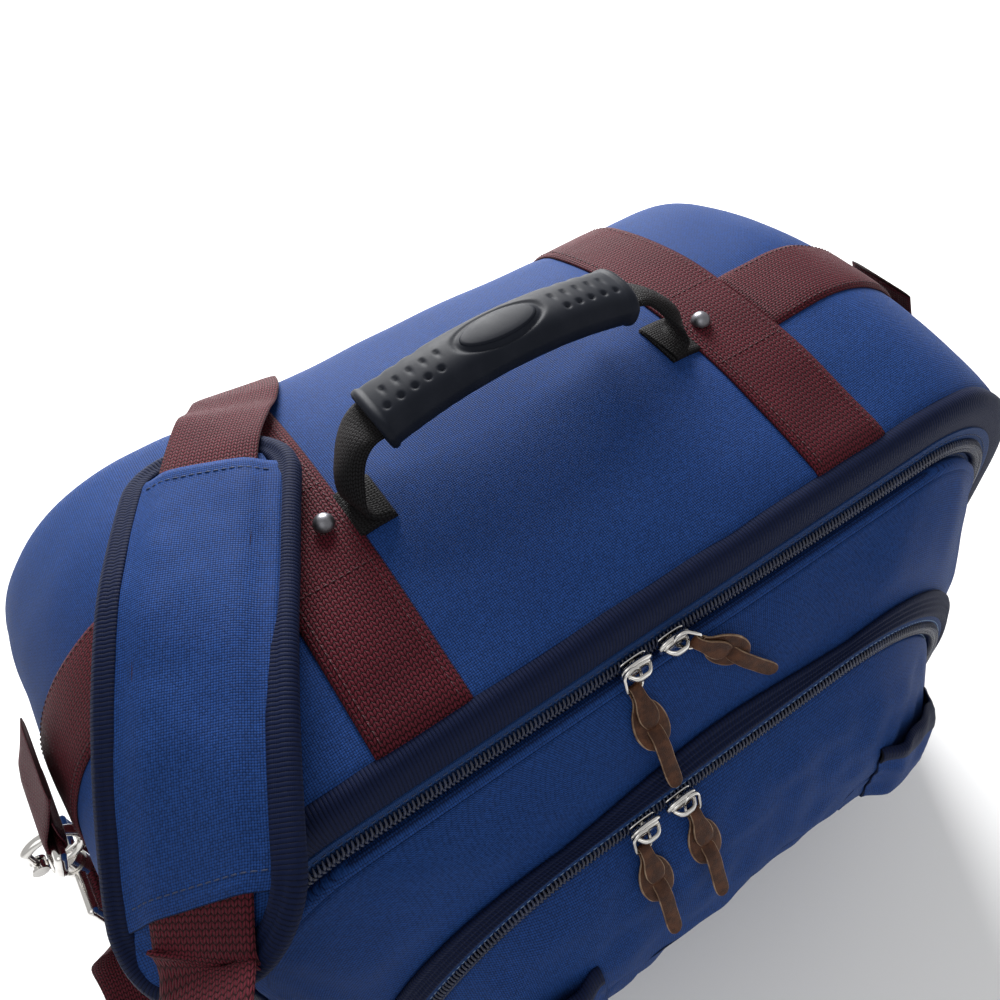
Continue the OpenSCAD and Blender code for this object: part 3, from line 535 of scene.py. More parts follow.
def stitches(name, lines, material=THREAD, body="root", step=3.3, long=2.5, thick=0.42):
    """Rows of stitches along lines, each a (points, normals) pair, sunk a little into the cloth."""
    wide, high = thick * 0.6, thick * 0.55
    template, faces = tube_template([(-long / 2, -0.15, 0.12, 0.12), (-long * 0.3, 0.12, wide, high),
                                     (0, 0.2, thick * 0.62, thick * 0.6), (long * 0.3, 0.12, wide, high),
                                     (long / 2, -0.15, 0.12, 0.12)])
    where, along, up = [], [], []
    for points, normals in lines:
        p, n = even(points, step, normals)
        mid, t, n = (p[:-1] + p[1:]) / 2, unit(p[1:] - p[:-1]), unit(n[:-1] + n[1:])
        where.append(mid)
        along.append(t)
        up.append(n)
    p, t, n = np.concatenate(where), np.concatenate(along), np.concatenate(up)
    return copies(name, template, faces, p, t, unit(np.cross(n, t)), n, material, body)


def wire(path, r, sides=10, closed=False):
    """Round wire along a path: verts and faces."""
    path = np.asarray(path, float)
    if closed:
        t = unit(np.roll(path, -1, 0) - np.roll(path, 1, 0))
    else:
        t = unit(np.gradient(path, axis=0))
    ref = np.array([0.31, 0.87, 0.38])
    a = unit(np.cross(t, ref))
    b = np.cross(t, a)
    k = 2 * math.pi * np.arange(sides) / sides
    rows = path[:, None] + r * (a[:, None] * np.cos(k)[None, :, None] + b[:, None] * np.sin(k)[None, :, None])
    return rows.reshape(-1, 3), tube_faces(len(path), sides, closed)


def lump(centre, size, power=4.0, n=20, rings=9):
    """Rounded block with soft edges: verts and faces."""
    verts = []
    for i in range(rings):
        f = math.pi * (i + 0.35) / (rings - 0.3) - math.pi / 2
        c, s = swell(math.cos(f), 2 / power), swell(math.sin(f), 2 / power)
        for j in range(n):
            g = 2 * math.pi * j / n
            x, y = c * swell(math.cos(g), 2 / power), c * swell(math.sin(g), 2 / power)
            verts.append((centre[0] + size[0] * x, centre[1] + size[1] * y, centre[2] + size[2] * s))
    return np.array(verts), tube_faces(rings, n)


def join(parts):
    """One mesh from several pairs of verts and faces."""
    verts, faces, base = [], [], 0
    for v, f in parts:
        verts.append(np.asarray(v, float))
        faces += [[base + k for k in face] for face in f]
        base += len(v)
    return np.concatenate(verts), faces


def catmull(points, per=8):
    """Smooth curve through points (any width of row)."""
    p = np.asarray(points, float)
    q = np.concatenate([[2 * p[0] - p[1]], p, [2 * p[-1] - p[-2]]])
    out = []
    for i in range(1, len(q) - 2):
        for t in np.arange(per) / per:
            a, b, c, d = q[i - 1:i + 3]
            bend, twist = 2 * a - 5 * b + 4 * c - d, 3 * b - a - 3 * c + d
            out.append(0.5 * (2 * b + (c - a) * t + bend * t * t + twist * t**3))
    return np.array(out + [p[-1]])


def turned(points, axis, degrees):
    """Points turned about an axis through the origin."""
    return np.asarray(points, float) @ np.array(Matrix.Rotation(math.radians(degrees), 3, axis)).T


def ribbon(name, path, width_dir, width, thick, material, body="root", bow=0.0, columns=13, **extra):
    """Flat webbing along a path, with its own width, bow and crowned edges at each point."""
    path, w = np.asarray(path, float), unit(width_dir)
    t = unit(np.gradient(path, axis=0))
    w = unit(w - t * (w * t).sum(-1, keepdims=True))
    up = np.cross(t, w)
    width, bow = np.broadcast_to(width, len(path)), np.broadcast_to(bow, len(path))
    k = np.linspace(-1, 1, columns)
    mid = (path[:, None] + w[:, None] * (k[None, :, None] * width[:, None, None] / 2)
           + up[:, None] * (bow[:, None] * (1 - k**2)[None, :])[..., None])
    half = thick / 2 * (1 - 0.6 * np.abs(k) ** 8)
    lift = up[:, None] * half[None, :, None]
    return sheet(name, mid + lift, mid - lift, material, body, **extra)


FILL_FRAMES = 20


def fill_cloth(piece, voxel=5.0, pressure=4.0):
    """Evenly meshed copy of a piece with a cloth simulation that blows it up."""
    work = piece.copy()
    work.data = piece.data.copy()
    work.name = piece.name + "_fill"
    work.parent = None
    bpy.context.scene.collection.objects.link(work)
    remesh = work.modifiers.new("remesh", "REMESH")
    remesh.mode, remesh.voxel_size = "VOXEL", voxel * MM
    cloth = work.modifiers.new("cloth", "CLOTH")
    cloth.settings.use_pressure = True
    cloth.settings.uniform_pressure_force = pressure
    cloth.settings.effector_weights.gravity = 0
    cloth.settings.quality = 5
    cloth.point_cache.frame_start, cloth.point_cache.frame_end = 1, FILL_FRAMES
    return work


def inflate(piece, most):
    """Fills a padded piece: its points follow the blown up copy along their normals, by at most this many mm."""
    work = fill_cloth(piece)
    scene = bpy.context.scene
    for f in range(1, FILL_FRAMES + 1):
        scene.frame_set(f)
    bm = bmesh.new()
    bm.from_mesh(work.evaluated_get(bpy.context.evaluated_depsgraph_get()).to_mesh())
    tree = BVHTree.FromBMesh(bm)
    for v in piece.data.vertices:
        hit, _, _, _ = tree.find_nearest(v.co)
        if hit is not None:
            out = v.normal.dot(hit - v.co)
            v.co = v.co + v.normal * min(max(out, -1.0 * MM), most * MM)
    bm.free()
    scene.frame_set(1)
    bpy.data.objects.remove(work)


# ---- Body, back and lining ----


def back_in(y):
    """Inset of the body where it rounds over to the back."""
    b = max(float(y) - BACK + BACK_R, 0.0)
    return BACK_R - math.sqrt(max(BACK_R**2 - b * b, 0.0))


rows = []
for y, inset, a in STATIONS:
    p, n = body_outline(y, inset)
    rows.append(skin(p, body_normals(n, a)))
for y, inset in [(BACK - 0.4, 34.2), (118.2, 34.6), (118.2, 15.5)]:
    rows.append(body_outline(y, inset)[0])
for y in np.linspace(112, FRONT + 1, 9):
    rows.append(body_outline(y, 6.7 + back_in(y))[0])
grid("body_shell", rows, BLUE, around=True, along=True, replaces="shell")

BACK_TOP = float(crown(BACK)) - 34


def back_outline(i, y):
    return outline(HALF_L - 34 - i, 42 + i, BACK_TOP - i, max(51 - i, 3), max(20 - i, 3), y, 6)


def back_bulge(p):
    """How far the padded back stands out, flat under the straps."""
    under = np.exp(-(((np.abs(p[:, 0]) - STRAP_X) / 24) ** 6))
    inside = np.minimum(np.minimum(198 - np.abs(p[:, 0]), BACK_TOP - p[:, 2]), p[:, 2] - 42)
    return (5.0 * smooth(inside, 0, 26) + 1.2 * ripple(p, 60, 5) * smooth(inside, 0, 20)) * (1 - under)


rings = [back_outline(0, 119.5)[0], back_outline(0.2, 126)[0]]
for i in [0.8, 2, 4, 8, 14, 22, 32, 44, 58, 72, 86, 98, 107]:
    p = back_outline(i, 127.2)[0]
    p[:, 1] += back_bulge(p)
    rings.append(p)
loft("back_pad", rings, BLUE, flat=(0, 2), replaces="back_panel")

p, n = outline(HALF_L - 34, 42, BACK_TOP, 51, 20, 128.7, 4)
circle = [(1.7 * math.cos(a), 1.7 * math.sin(a)) for a in np.linspace(0, 2 * math.pi, 12, endpoint=False)]
sweep("back_welt", p, n, facing(BACKWARD, n), circle, NAVY, closed=True, replaces="back_piping")

rows = []
for y in (117.4, 105, 60, 10, -40, FRONT + 2):
    rows.append(body_outline(y, 7.5 + back_in(y))[0])
for y in (FRONT + 2, -60, -20, 20, 60, 90, 105, 116.2):
    p, n = body_outline(y, 8.6 + back_in(y))
    rows.append(p - n * (0.7 * (1 + 2 * ripple(p, 40, 8)))[:, None])
loft("lining_sleeve", rows, LINING, replaces="lining")

# ---- Binding, tapes and coils ----

p, n = front_outline(0, FRONT)
ROLL = [(-17.3, 4.3), (-17.0, 5.3), (-15.4, 5.8), (-12, 6.0), (-8.5, 6.0), (-5, 5.5), (-2.2, 4.4), (-0.3, 2.8),
        (0.8, 0.8), (1.0, -1.2), (0.7, -3.4), (0.1, -5.4), (-0.7, -6.2), (-1.7, -5.4), (-1.2, -2.6), (-1.6, 0.4),
        (-4, 3.0), (-10, 4.4)]
edge = ripple(p, 30, 11)[:, None] * 0.8
sweep("edge_binding", p + n * edge, n, facing(FORWARD, n), ROLL, NAVY, closed=True, replaces="front_binding")


p, n = front_outline(0, FRONT, 3)
p, n = np.concatenate([p, p[:1]]), np.concatenate([n, n[:1]])
stitches("binding_stitches", [(p + n * -15.6 + FORWARD * 5.75, facing(FORWARD, n))])


def open_part(points, normals, low):
    """The stretch of an outline that the zip runs along."""
    keep = points[:, 2] > low
    return points[keep], normals[keep]


def tape(name, outline_fn, y, inset0, inset1, low, material, body, replaces, thick=1.3, folded=()):
    """Flat zip tape between two insets, its front face at y, with raised folds at some insets."""
    p, n = open_part(*outline_fn(0, y), low)
    a = np.linspace(inset0, inset1, 15)
    up = np.zeros(15)
    for at, wide, high in folded:
        up += high * np.exp(-(((a - at) / wide) ** 4))
    profile = [(-k, h) for k, h in zip(a, up)] + [(-k, -thick) for k in a[::-1]]
    return sweep(name, p, n, facing(FORWARD, n), profile, material, body, replaces=replaces)


def coil(name, outline_fn, y, inset, side, low, body, replaces, pitch=1.9, phase=0):
    """One half of a coil zip: slanted nylon turns on the tape's edge, pointing to the other half."""
    p, n = open_part(*outline_fn(inset, y, 2), low)
    p, n = even(p, pitch / 2, n)
    p, n = p[phase::2], unit(n[phase::2])
    front = facing(FORWARD, n)
    verts, faces = tube_template([(-2.4, 0.2, 0.42, 0.4), (-1.9, 1.1, 0.58, 0.7), (-0.6, 2.15, 0.62, 0.6),
                                  (0.9, 2.3, 0.64, 0.6), (1.9, 1.7, 0.70, 0.75), (2.3, 0.7, 0.6, 0.6)])
    x = unit(-n * side + unit(np.gradient(p, axis=0)) * 0.32)
    return copies(name, verts, faces, p, x, unit(np.cross(front, x)), front, NYLON, body, replaces=replaces)


tape("tape_outer", front_outline, COIL_Y, 15.2, ZIP_IN - 0.5, ZIP_LOW, BLUE_FINE, "root", "zip_tape_body")
tape("tape_inner", front_outline, COIL_Y, ZIP_IN + 0.5, 35.4, ZIP_LOW, BLUE_FINE, "door", "zip_tape_door")
coil("coil_outer", front_outline, COIL_Y, ZIP_IN - 1.6, 1, ZIP_LOW, "root", "zip_coil_body")
coil("coil_inner", front_outline, COIL_Y, ZIP_IN + 1.6, -1, ZIP_LOW, "door", "zip_coil_door", phase=1)
for name, inset, body in (("tape_stitches_outer", 19.0, "root"), ("tape_stitches_inner", 30.6, "door")):
    p, n = open_part(*front_outline(inset, COIL_Y, 3), ZIP_LOW)
    stitches(name, [(p, facing(FORWARD, n))], THREAD, body)


def hem_cloth(name, outline_fn, y, inset0, inset1, high, body):
    """Cloth that joins the two sides of a zip below its ends, where the panel hinges."""
    p, n = outline_fn(0, y)
    keep = p[:, 2] < high
    split = int(np.argmax(~keep[::-1]))
    order = np.roll(np.arange(len(p)), split)
    order = order[keep[order]]
    k = np.linspace(0, 1, 9)
    top = [(-(inset0 + (inset1 - inset0) * t), 1.6 * math.sin(math.pi * t)) for t in k]
    low = [(-(inset0 + (inset1 - inset0) * t), -1.4) for t in k[::-1]]
    return sweep(name, p[order], n[order], facing(FORWARD, p[order]), top + low, BLUE, body)


hem_cloth("door_hinge_cloth", front_outline, TAPE_Y - 1.0, 15.5, 33.0, ZIP_LOW + 3, "door")

# ---- Webbing sewn on the body ----


def cross_webbing(side, word):
    """Strap over the roof and down the back, with its stitches."""
    xs = side * STRAP_X + np.linspace(-STRAP_W / 2, STRAP_W / 2, 21)
    base, up, thick = [], [], []
    for y, inset, a in [station for station in STATIONS if station[0] > FRONT + 1.5]:
        q = np.stack([xs, np.full(21, y), np.full(21, float(crown(y)) - inset)], 1)
        flat = facing([0.0, math.sin(a), math.cos(a)], q)
        slope = 0.0 if abs(a) > 0.01 else (y - CROWN_Y) / CROWN_R
        base.append(skin(q, flat, 0.12))
        up.append(unit(flat + np.array([0, slope, 0])))
        thick.append(2.0 * float(smooth(y, FRONT + 1, FRONT + 9)) + 0.12)
    for z in np.linspace(base[-1][:, 2].mean() - 4, 46, 46):
        bump = 3.0 * math.exp(-(((z - BACK_TOP) / 5.5) ** 2)) + 3.0 * math.exp(-(((z - 42) / 6) ** 2))
        base.append(np.stack([xs, np.full(21, BACK + 0.5 + bump), np.full(21, z)], 1))
        up.append(facing(BACKWARD, base[-1]))
        thick.append(2.0)
    base, up, thick = np.array(base), np.array(up), np.array(thick)
    k = np.linspace(-1, 1, 21)
    rise = thick[:, None] * (1 - 0.65 * np.abs(k) ** 10)[None, :]
    rise += 0.25 * ripple(base, 26, 20) * (thick[:, None] > 1.5)
    upper = base + up * rise[..., None]
    sheet("cross_webbing_" + word, upper, base, MAROON, replaces="cross_strap_" + word)
    top = upper + up * 0.02
    lines = [(top[2:, c], up[2:, c]) for c in (2, 18)]
    for y in (-21.5, 21.5):
        r = int(np.argmin([abs(q[0, 1] - y) for q in base[:50]]))
        lines.append((top[r, 1:-1], up[r, 1:-1]))
    stitches("cross_stitches_" + word, lines, THREAD_RED, long=2.3, thick=0.36)


def end_webbing(side, word):
    """Strap from the cross strap out over the end and down to the bottom, with its stitches."""
    points, normals = [], []
    for y in np.linspace(-STRAP_W / 2, STRAP_W / 2, 17):
        q, m = outline(HALF_L, FOOT, float(crown(y)), TOP_R, LOW_R, y, 3)
        stop = int(np.argmax(q[:, 0] < 121.5))
        points.append(q[:stop] * [side, 1, 1])
        normals.append(m[:stop] * [side, 1, 1])
    q, m = np.stack(points, 1), np.stack(normals, 1)
    base = skin(q, m, 0.12)
    thick = 0.5 + 1.6 * smooth(np.abs(q[:, 0, 0]) + np.where(q[:, 0, 2] < 300, 50, 0), 121, 128)
    k = np.linspace(-1, 1, 17)
    rise = thick[:, None] * (1 - 0.65 * np.abs(k) ** 10) + 0.25 * ripple(base, 22, 21)
    upper = base + m * rise[..., None]
    sheet("end_webbing_" + word, upper, base, MAROON, replaces="end_strap_" + word)
    lines = [(upper[:-3, c] + m[:-3, c] * 0.02, m[:-3, c]) for c in (1, 15)]
    stitches("end_stitches_" + word, lines, THREAD_RED, long=2.3, thick=0.36)


def ring_webbing(side, word):
    """Ring tab: webbing folded round the ring's bar, hung from the end strap."""
    x, z = HALF_L + 9, 258.0
    arc = [(x + 3.6 * math.cos(a), z + 3.6 * math.sin(a)) for a in np.radians([40, 0, -45, -90, -135, -180])]
    path = [(HALF_L - 3.4, 291.5), (HALF_L + 4.2, 276), (HALF_L + 9.6, 266)] + arc
    path += [(HALF_L + 4.6, 266), (HALF_L + 2.8, 276)]
    path = catmull([(side * a, 0, b) for a, b in path], 5)
    ribbon("ring_webbing_" + word, path, facing(BACKWARD, path), 39.0, 1.7, MAROON,
           replaces="ring_tabs" if side < 0 else ())


for side, word in SIDES:
    cross_webbing(side, word)
    end_webbing(side, word)
    ring_webbing(side, word)

# ---- Handle ----

G_X = 61.0
G_RISE = 8.4
G_R = (G_X**2 + G_RISE**2) / (2 * G_RISE)
LEAN = math.radians(38)
G_MID = np.array([0, 0, 338.0]) + (21 + G_RISE) * np.array([0, math.sin(LEAN), math.cos(LEAN)])


def grip_at(s, b, h):
    """Point of the grip: s along its arc from the middle, b towards the back, h above its middle line."""
    a = np.asarray(s, float) / G_R
    return np.stack([(G_R + h) * np.sin(a), G_MID[1] + b + 0 * a, G_MID[2] - G_R + (G_R + h) * np.cos(a)], -1)


def dimple(s, b):
    """Depth, 0 to 1, of two staggered rows of round dimples on each half of the grip."""
    out = np.zeros(np.broadcast(s, b).shape)
    for places, at in (((26.9, 33.2, 39.3, 45.6, 51.8), 1.6), ((29.4, 35.4, 41.4, 47.8, 54.2), -6.2)):
        for c in places:
            out += np.exp(-((np.hypot(np.abs(s) - c, b - at) / 1.25) ** 4))
    return out


G_END = G_R * math.asin(G_X / G_R)
GRIP_SIDES = 120
turn = 2 * math.pi * np.arange(GRIP_SIDES) / GRIP_SIDES
sec_b, sec_h = 15.0 * swell(np.cos(turn), 0.62), 8.4 * swell(np.sin(turn), 0.72)
rows = []
for s in np.concatenate([[-G_END - 0.4], np.linspace(-G_END, G_END, 190), [G_END + 0.4]]):
    edge = smooth(abs(s), 24, 60)
    lip = 0.8 * math.exp(-(((abs(s) - G_END + 1.8) / 1.5) ** 4)) - (1.2 if abs(s) > G_END else 0)
    scallop = sum(math.exp(-(((abs(s) - c) / 2.6) ** 2)) for c in (33.0, 41.0, 49.0))
    b = sec_b * (1 + lip / 15 + 0.03 * edge) - np.where(sec_b > 6, scallop, 0) * smooth(sec_b, 6, 14)
    top = smooth(sec_h, 0, 6)
    h = sec_h * (1 + lip / 8.4) - top * b * b / 110
    ring_d = np.hypot(s / 19.6, (b + 0.5) / 9.4)
    h = h - top * (0.85 * np.exp(-(((ring_d - 1) / 0.075) ** 2)) + 1.1 * dimple(s, b))
    rows.append(grip_at(np.full(GRIP_SIDES, s), b, h))
slot_b, slot_h = 12.2 * swell(np.cos(turn), 0.3), 2.7 * swell(np.sin(turn), 0.4)
for sign in (1, -1):
    inner = [grip_at(np.full(GRIP_SIDES, sign * (G_END + d)), slot_b * k, slot_h * k)
             for d, k in ((0.3, 1.12), (-0.6, 1.0), (-9, 1.0))]
    rows = rows + inner if sign > 0 else inner[::-1] + rows
loft("grip_body", rows, RUBBER, "handle", replaces=("grip_upper", "grip_lower"))
rows = []
for k, h in ((1.0, 7.2), (1.0, 8.45), (0.97, 8.85), (0.9, 9.0), (0.6, 9.15), (0.3, 9.2), (0.05, 9.2)):
    b = 7.6 * k * np.sin(turn[::2])
    rows.append(grip_at(17.3 * k * np.cos(turn[::2]), b - 0.5, h - b * b / 130))
loft("badge_plate", rows, RUBBER, "handle", replaces="grip_badge")

LOOP = [  # place, width direction, width, bow
    (48, G_MID[1], 356.5, 0, 1, 0, 23, 0), (57, G_MID[1], 354.3, 0, 1, 0, 23, 0.2),
    (64, 17.6, 352.3, 0.05, 1, -0.05, 23.5, 1.0), (70.5, 15.0, 349.4, 0.2, 0.95, -0.25, 22, 2.6),
    (76.0, 10.4, 345.2, 0.35, 0.85, -0.35, 17, 4.0), (79.6, 5.4, 340.6, 0.4, 0.9, -0.2, 14, 4.2),
    (80.0, 2.0, 336.2, 0.2, 1, 0, 16, 3.0), (78.6, 0.6, 333.2, 0, 1, 0, 21, 1.4),
    (75.5, 0.2, 331.9, 0, 1, 0, 24, 0.3), (71, 0, 331.6, 0, 1, 0, 25, 0)]
for side, word in SIDES:
    curve = catmull(LOOP, 7)
    path, wd, wide, bow = curve[:, :3] * [side, 1, 1], curve[:, 3:6] * [side, 1, 1], curve[:, 6], curve[:, 7]
    fold = 0.5 * ripple(path, 9, 31)
    loop = ribbon("handle_loop_" + word, path, wd, wide, 3.0, BLACK, None, bow=side * (bow + fold),
                  replaces="handle_webbing" if side < 0 else ())
    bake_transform(loop)
    x, y = np.meshgrid(np.linspace(70, 91, 14), np.linspace(-12, 12, 11), indexing="ij")
    q = np.stack([side * x, y, crown(y)], -1)
    up = facing([0.0, 0.0, 1.0], q)
    base = skin(q, up, 0.1)
    top = base + up * (1.7 * smooth(91 - x, 0, 7) * smooth(x, 69, 71) + 0.15)[..., None]
    sheet("handle_patch_" + word, top, base, BLACK, replaces="handle_tabs" if side < 0 else ())

# ---- Door and organiser ----

rows = []
for i, y in ((60, -97.0), (33, -96.9), (31.3, -97.2), (31, -99.5), (31.3, -101.8), (33, -103.3), (37, -103.8),
             (60, -103.6)):
    rows.append(front_outline(i, y)[0])
loft("door_pad", rows, BLUE, "door", flat=(0, 2), replaces="door_panel")

rows = []
for i in [0.3] + [1] + list(range(3, 108, 4)):
    p = front_outline(41 + i, -96.2, 6)[0]
    quilt = np.minimum(*[np.abs(np.sin((p[:, 0] + way * p[:, 2]) * math.pi / 52)) for way in (1, -1)])
    p[:, 1] += (0.1 if i < 1 else 0.5) + 0.9 * np.clip(quilt * 2.2, 0, 1) * min(i / 6, 1)
    rows.append(p)
loft("door_quilt", rows, LINING, "door", flat=(0, 2), replaces="door_lining")

# Organiser's sloped wall, from A on the door to B on the organiser's front
A, NA = door_outline(0, -103.4)
B, NB = organiser_outline(0.4, ORG_Y)
T = unit(np.roll(B, -1, 0) - np.roll(B, 1, 0))
N = unit(NA + NB)
OUT = unit(np.cross(T, unit(A - B)))
OUT = OUT * np.sign((OUT * (N + FORWARD)).sum(-1, keepdims=True))
along = np.cumsum(np.concatenate([[0], np.linalg.norm(np.diff(B, axis=0), axis=1)]))
rows = []
for t in np.linspace(0, 1, 22):
    p = A + (B - A) * t
    pucker = np.sin(along / 11.5 + t * 3.2 + 3.0 * ripple(B, 60, 40)) * ripple(B, 38, 41) * 2.6
    pucker = pucker + 2.4 * ripple(p, 24, 42)
    calm = float(smooth(1 - t, 0.24, 0.42)) * float(smooth(t, 0, 0.15))
    high = 1.0 * math.sin(math.pi * t) ** 0.8 * calm + 0.75 * pucker * calm * (0.4 + 0.6 * t)
    rows.append(p + OUT * np.reshape(high, (-1, 1)))
for t in (1, 0.5, 0):
    p = A + (B - A) * t
    rows.append(p - OUT * 2.6)
grid("organiser_wall", rows, BLUE, "door", around=True, along=True, replaces="organiser_gusset")

D = unit(A - B)
BAND = [(13.0, 2.0), (12.6, 3.4), (11.4, 3.9), (10.2, 3.6), (9.2, 3.3), (8.4, 3.9), (7.7, 3.9), (7.0, 3.2),
        (6.2, 3.2), (5.4, 3.9), (4.7, 3.9), (4.0, 3.2), (3.0, 3.2), (2.2, 3.8), (1.2, 3.7), (0.2, 3.0),
        (-1.0, 1.9), (-1.8, 0.6), (-1.4, -0.6), (0.6, 0.4), (6, 1.0)]
scale = np.minimum(np.linalg.norm(A - B, axis=1) / 40, 1)[:, None]
rows = [B + D * c * scale + OUT * (h - 0.9) for c, h in BAND]
grid("organiser_band", np.stack(rows, 1), NAVY, "door", around=True, along=True, replaces="organiser_binding")

ORG_TAPE, FLAP_LOW = ORG_Y - 1.2, 126
tape("organiser_tape_top", organiser_outline, ORG_TAPE, 0.2, 7.5, FLAP_LOW, BLUE_FINE, "door", "organiser_tape",
     thick=1.0, folded=((2.2, 1.0, 0.6), (4.4, 0.7, 0.5)))
tape("organiser_tape_low", organiser_outline, ORG_TAPE, 8.5, 14.5, FLAP_LOW, BLUE_FINE, "flap", "flap_tape",
     thick=1.0)
coil("organiser_coil_top", organiser_outline, ORG_TAPE, 6.4, 1, FLAP_LOW, "door", "organiser_coil")
coil("organiser_coil_low", organiser_outline, ORG_TAPE, 9.6, -1, FLAP_LOW, "flap", "flap_coil", phase=1)
for name, inset, body in (("organiser_stitches_top", 3.3, "door"), ("organiser_stitches_low", 12.4, "flap")):
    p, n = open_part(*organiser_outline(inset, ORG_TAPE - 0.25, 3), FLAP_LOW)
    stitches(name, [(p, facing(FORWARD, n))], THREAD_PALE, body)

hem_cloth("flap_hinge_cloth", organiser_outline, ORG_Y - 0.6, 1.5, 16.0, FLAP_LOW + 3, "flap")

# How far the flap's cloth bulges at each distance in from its zip
LEVELS = np.array([[0, -1], [3, 0], [8, 5], [14, 12], [20, 20], [26, 31], [31, 44], [33.4, 55], [34.2, 63],
                   [34.2, 90]])


def org_inset(x, z):
    """Distance in from the organiser's outline."""
    ax = np.abs(x)
    d = np.minimum(np.minimum(ORG_HALF - ax, ORG_TOP - z), z - ORG_LOW)
    up = (z > ORG_TOP - ORG_R) & (ax > ORG_HALF - ORG_R)
    d = np.where(up, ORG_R - np.hypot(ax - ORG_HALF + ORG_R, z - ORG_TOP + ORG_R), d)
    r = ORG_LOW_R
    low = (z < ORG_LOW + r) & (ax > ORG_HALF - r)
    return np.where(low, r - np.hypot(ax - ORG_HALF + r, z - ORG_LOW - r), d)


def flap_face(x, z, lift=0.0):
    """Points on the front of the flap's filled, uneven cloth."""
    x, z = np.asarray(x, float), np.asarray(z, float)
    inset = org_inset(x, z) - 13
    deep = np.interp(inset, LEVELS[:, 1], LEVELS[:, 0])
    p = np.stack([x, 0 * x, z], -1)
    soft = smooth(inset, 0, 18)
    deep = deep + soft * (3.4 * ripple(p, 42, 50) + 2.2 * ripple(p * [1, 1, 1.7], 18, 51))
    return np.stack([x, ORG_Y - deep - lift, z], -1)


rows = [organiser_outline(15.5, ORG_Y + 0.6, 4)[0], organiser_outline(13.2, ORG_Y - 0.4, 4)[0]]
for i in (13.2, 14, 15.5, 17.5, 20, 23, 26, 29.5, 33, 37, 41, 45):
    q = organiser_outline(i, 0, 4)[0]
    rows.append(flap_face(q[:, 0], q[:, 2]))
spine = np.stack([np.clip(q[:, 0], -100, 100) * 0.96, q[:, 1], np.full(len(q), 156.0)], 1)
for t in (0.12, 0.25, 0.38, 0.52, 0.66, 0.8, 0.92, 0.999):
    m = q * (1 - t) + spine * t
    rows.append(flap_face(m[:, 0], m[:, 2]))
loft("flap_pad", rows, BLUE, "flap", flat=(0, 2), replaces="flap_panel")

# Pockets, each with a bound edge along its curved mouth
for side, word in SIDES:
    u, v = np.meshgrid(np.linspace(0, 1, 25), np.linspace(0, 1, 31), indexing="ij")
    x = side * (84 + 59 * u)
    top = 183 - 26 * u**2.2
    z = 99 + (top - 99) * v
    bell = smooth(u, 0, 0.25) * smooth(1 - u, 0, 0.2) * smooth(v, 0, 0.3)
    out = flap_face(x, z, 1.2 + 6.0 * bell)
    back = flap_face(x, z, 0.2 + 5.0 * bell)
    sheet("pocket_face_" + word, out, back, BLUE, "flap", replaces="pocket_" + word)
    rise = smooth(u[:, -1], 0, 0.25) * smooth(1 - u[:, -1], 0, 0.2)
    section = ((9, 1.3, 6), (8.5, 2.1, 6), (4, 2.4, 6), (0, 2.4, 6), (-1.6, 1.8, 6),
               (-2, 0.7, 5.5), (-1.5, -0.2, 5), (0, -0.7, 5), (4, -0.6, 5))
    hem = [flap_face(x[:, -1], top[:, -1] - down, low + high * rise) for down, low, high in section]
    loft("pocket_edge_" + word, np.stack(hem, 1), NAVY, "flap")

# ---- Zip sliders, bails and pulls ----


def slider(name, at, body, node):
    """Zip slider: two wings, a body between them and a bridge over the top."""
    parts = [lump((0, 0, -0.2), (8.0, 5.2, 1.3), 2.7), lump((0, 0, -3.0), (7.2, 4.2, 0.7), 3.2),
             lump((0, 0, 0.9), (6.6, 3.9, 1.1), 2.3), lump((0, 0, -1.6), (1.4, 0.8, 2.0), 4)]
    path = [(x, 0, 5.0 * (1 - abs(x / 5.9) ** 3.4)) for x in np.linspace(-5.7, 5.7, 21)]
    v, f = wire(path, 0.85, 10)
    v[:, 1] *= 2.9 - 0.14 * np.abs(v[:, 0])
    parts.append((v, f))
    v, f = join(parts)
    v = np.stack([v[:, 0], -v[:, 2] - 4.9, v[:, 1]], 1) + at
    add(name, v, f, NICKEL, body, replaces=node)


def hanging(points, side, turn):
    """From the bail's own frame to the slider's."""
    p = turned(turned(points, "X", -17), "Y", -turn)
    return p + np.array([0, -6.9, 0])


BAIL_R = 3.8


def bail(name, at, side, turn, body, node):
    """Wire loop through the slider's bridge, with a straight bar for the pull."""
    r = BAIL_R
    path = [(r * math.cos(a), 0, r * math.sin(a)) for a in np.linspace(0, math.pi, 15)]
    path += [(-r, 0, -z) for z in (2, 4, 6.4)] + [(-r + 0.5, 0, -7.5), (-r + 1.6, 0, -8)]
    path += [(0, 0, -8), (r - 1.6, 0, -8), (r - 0.5, 0, -7.5)] + [(r, 0, -z) for z in (6.4, 4, 2)]
    path = np.array(path) + [side * r, 0, 0]
    v, f = wire(hanging(path, side, turn), 0.85, 10, closed=True)
    add(name, v + at, f, NICKEL, body, replaces=node)


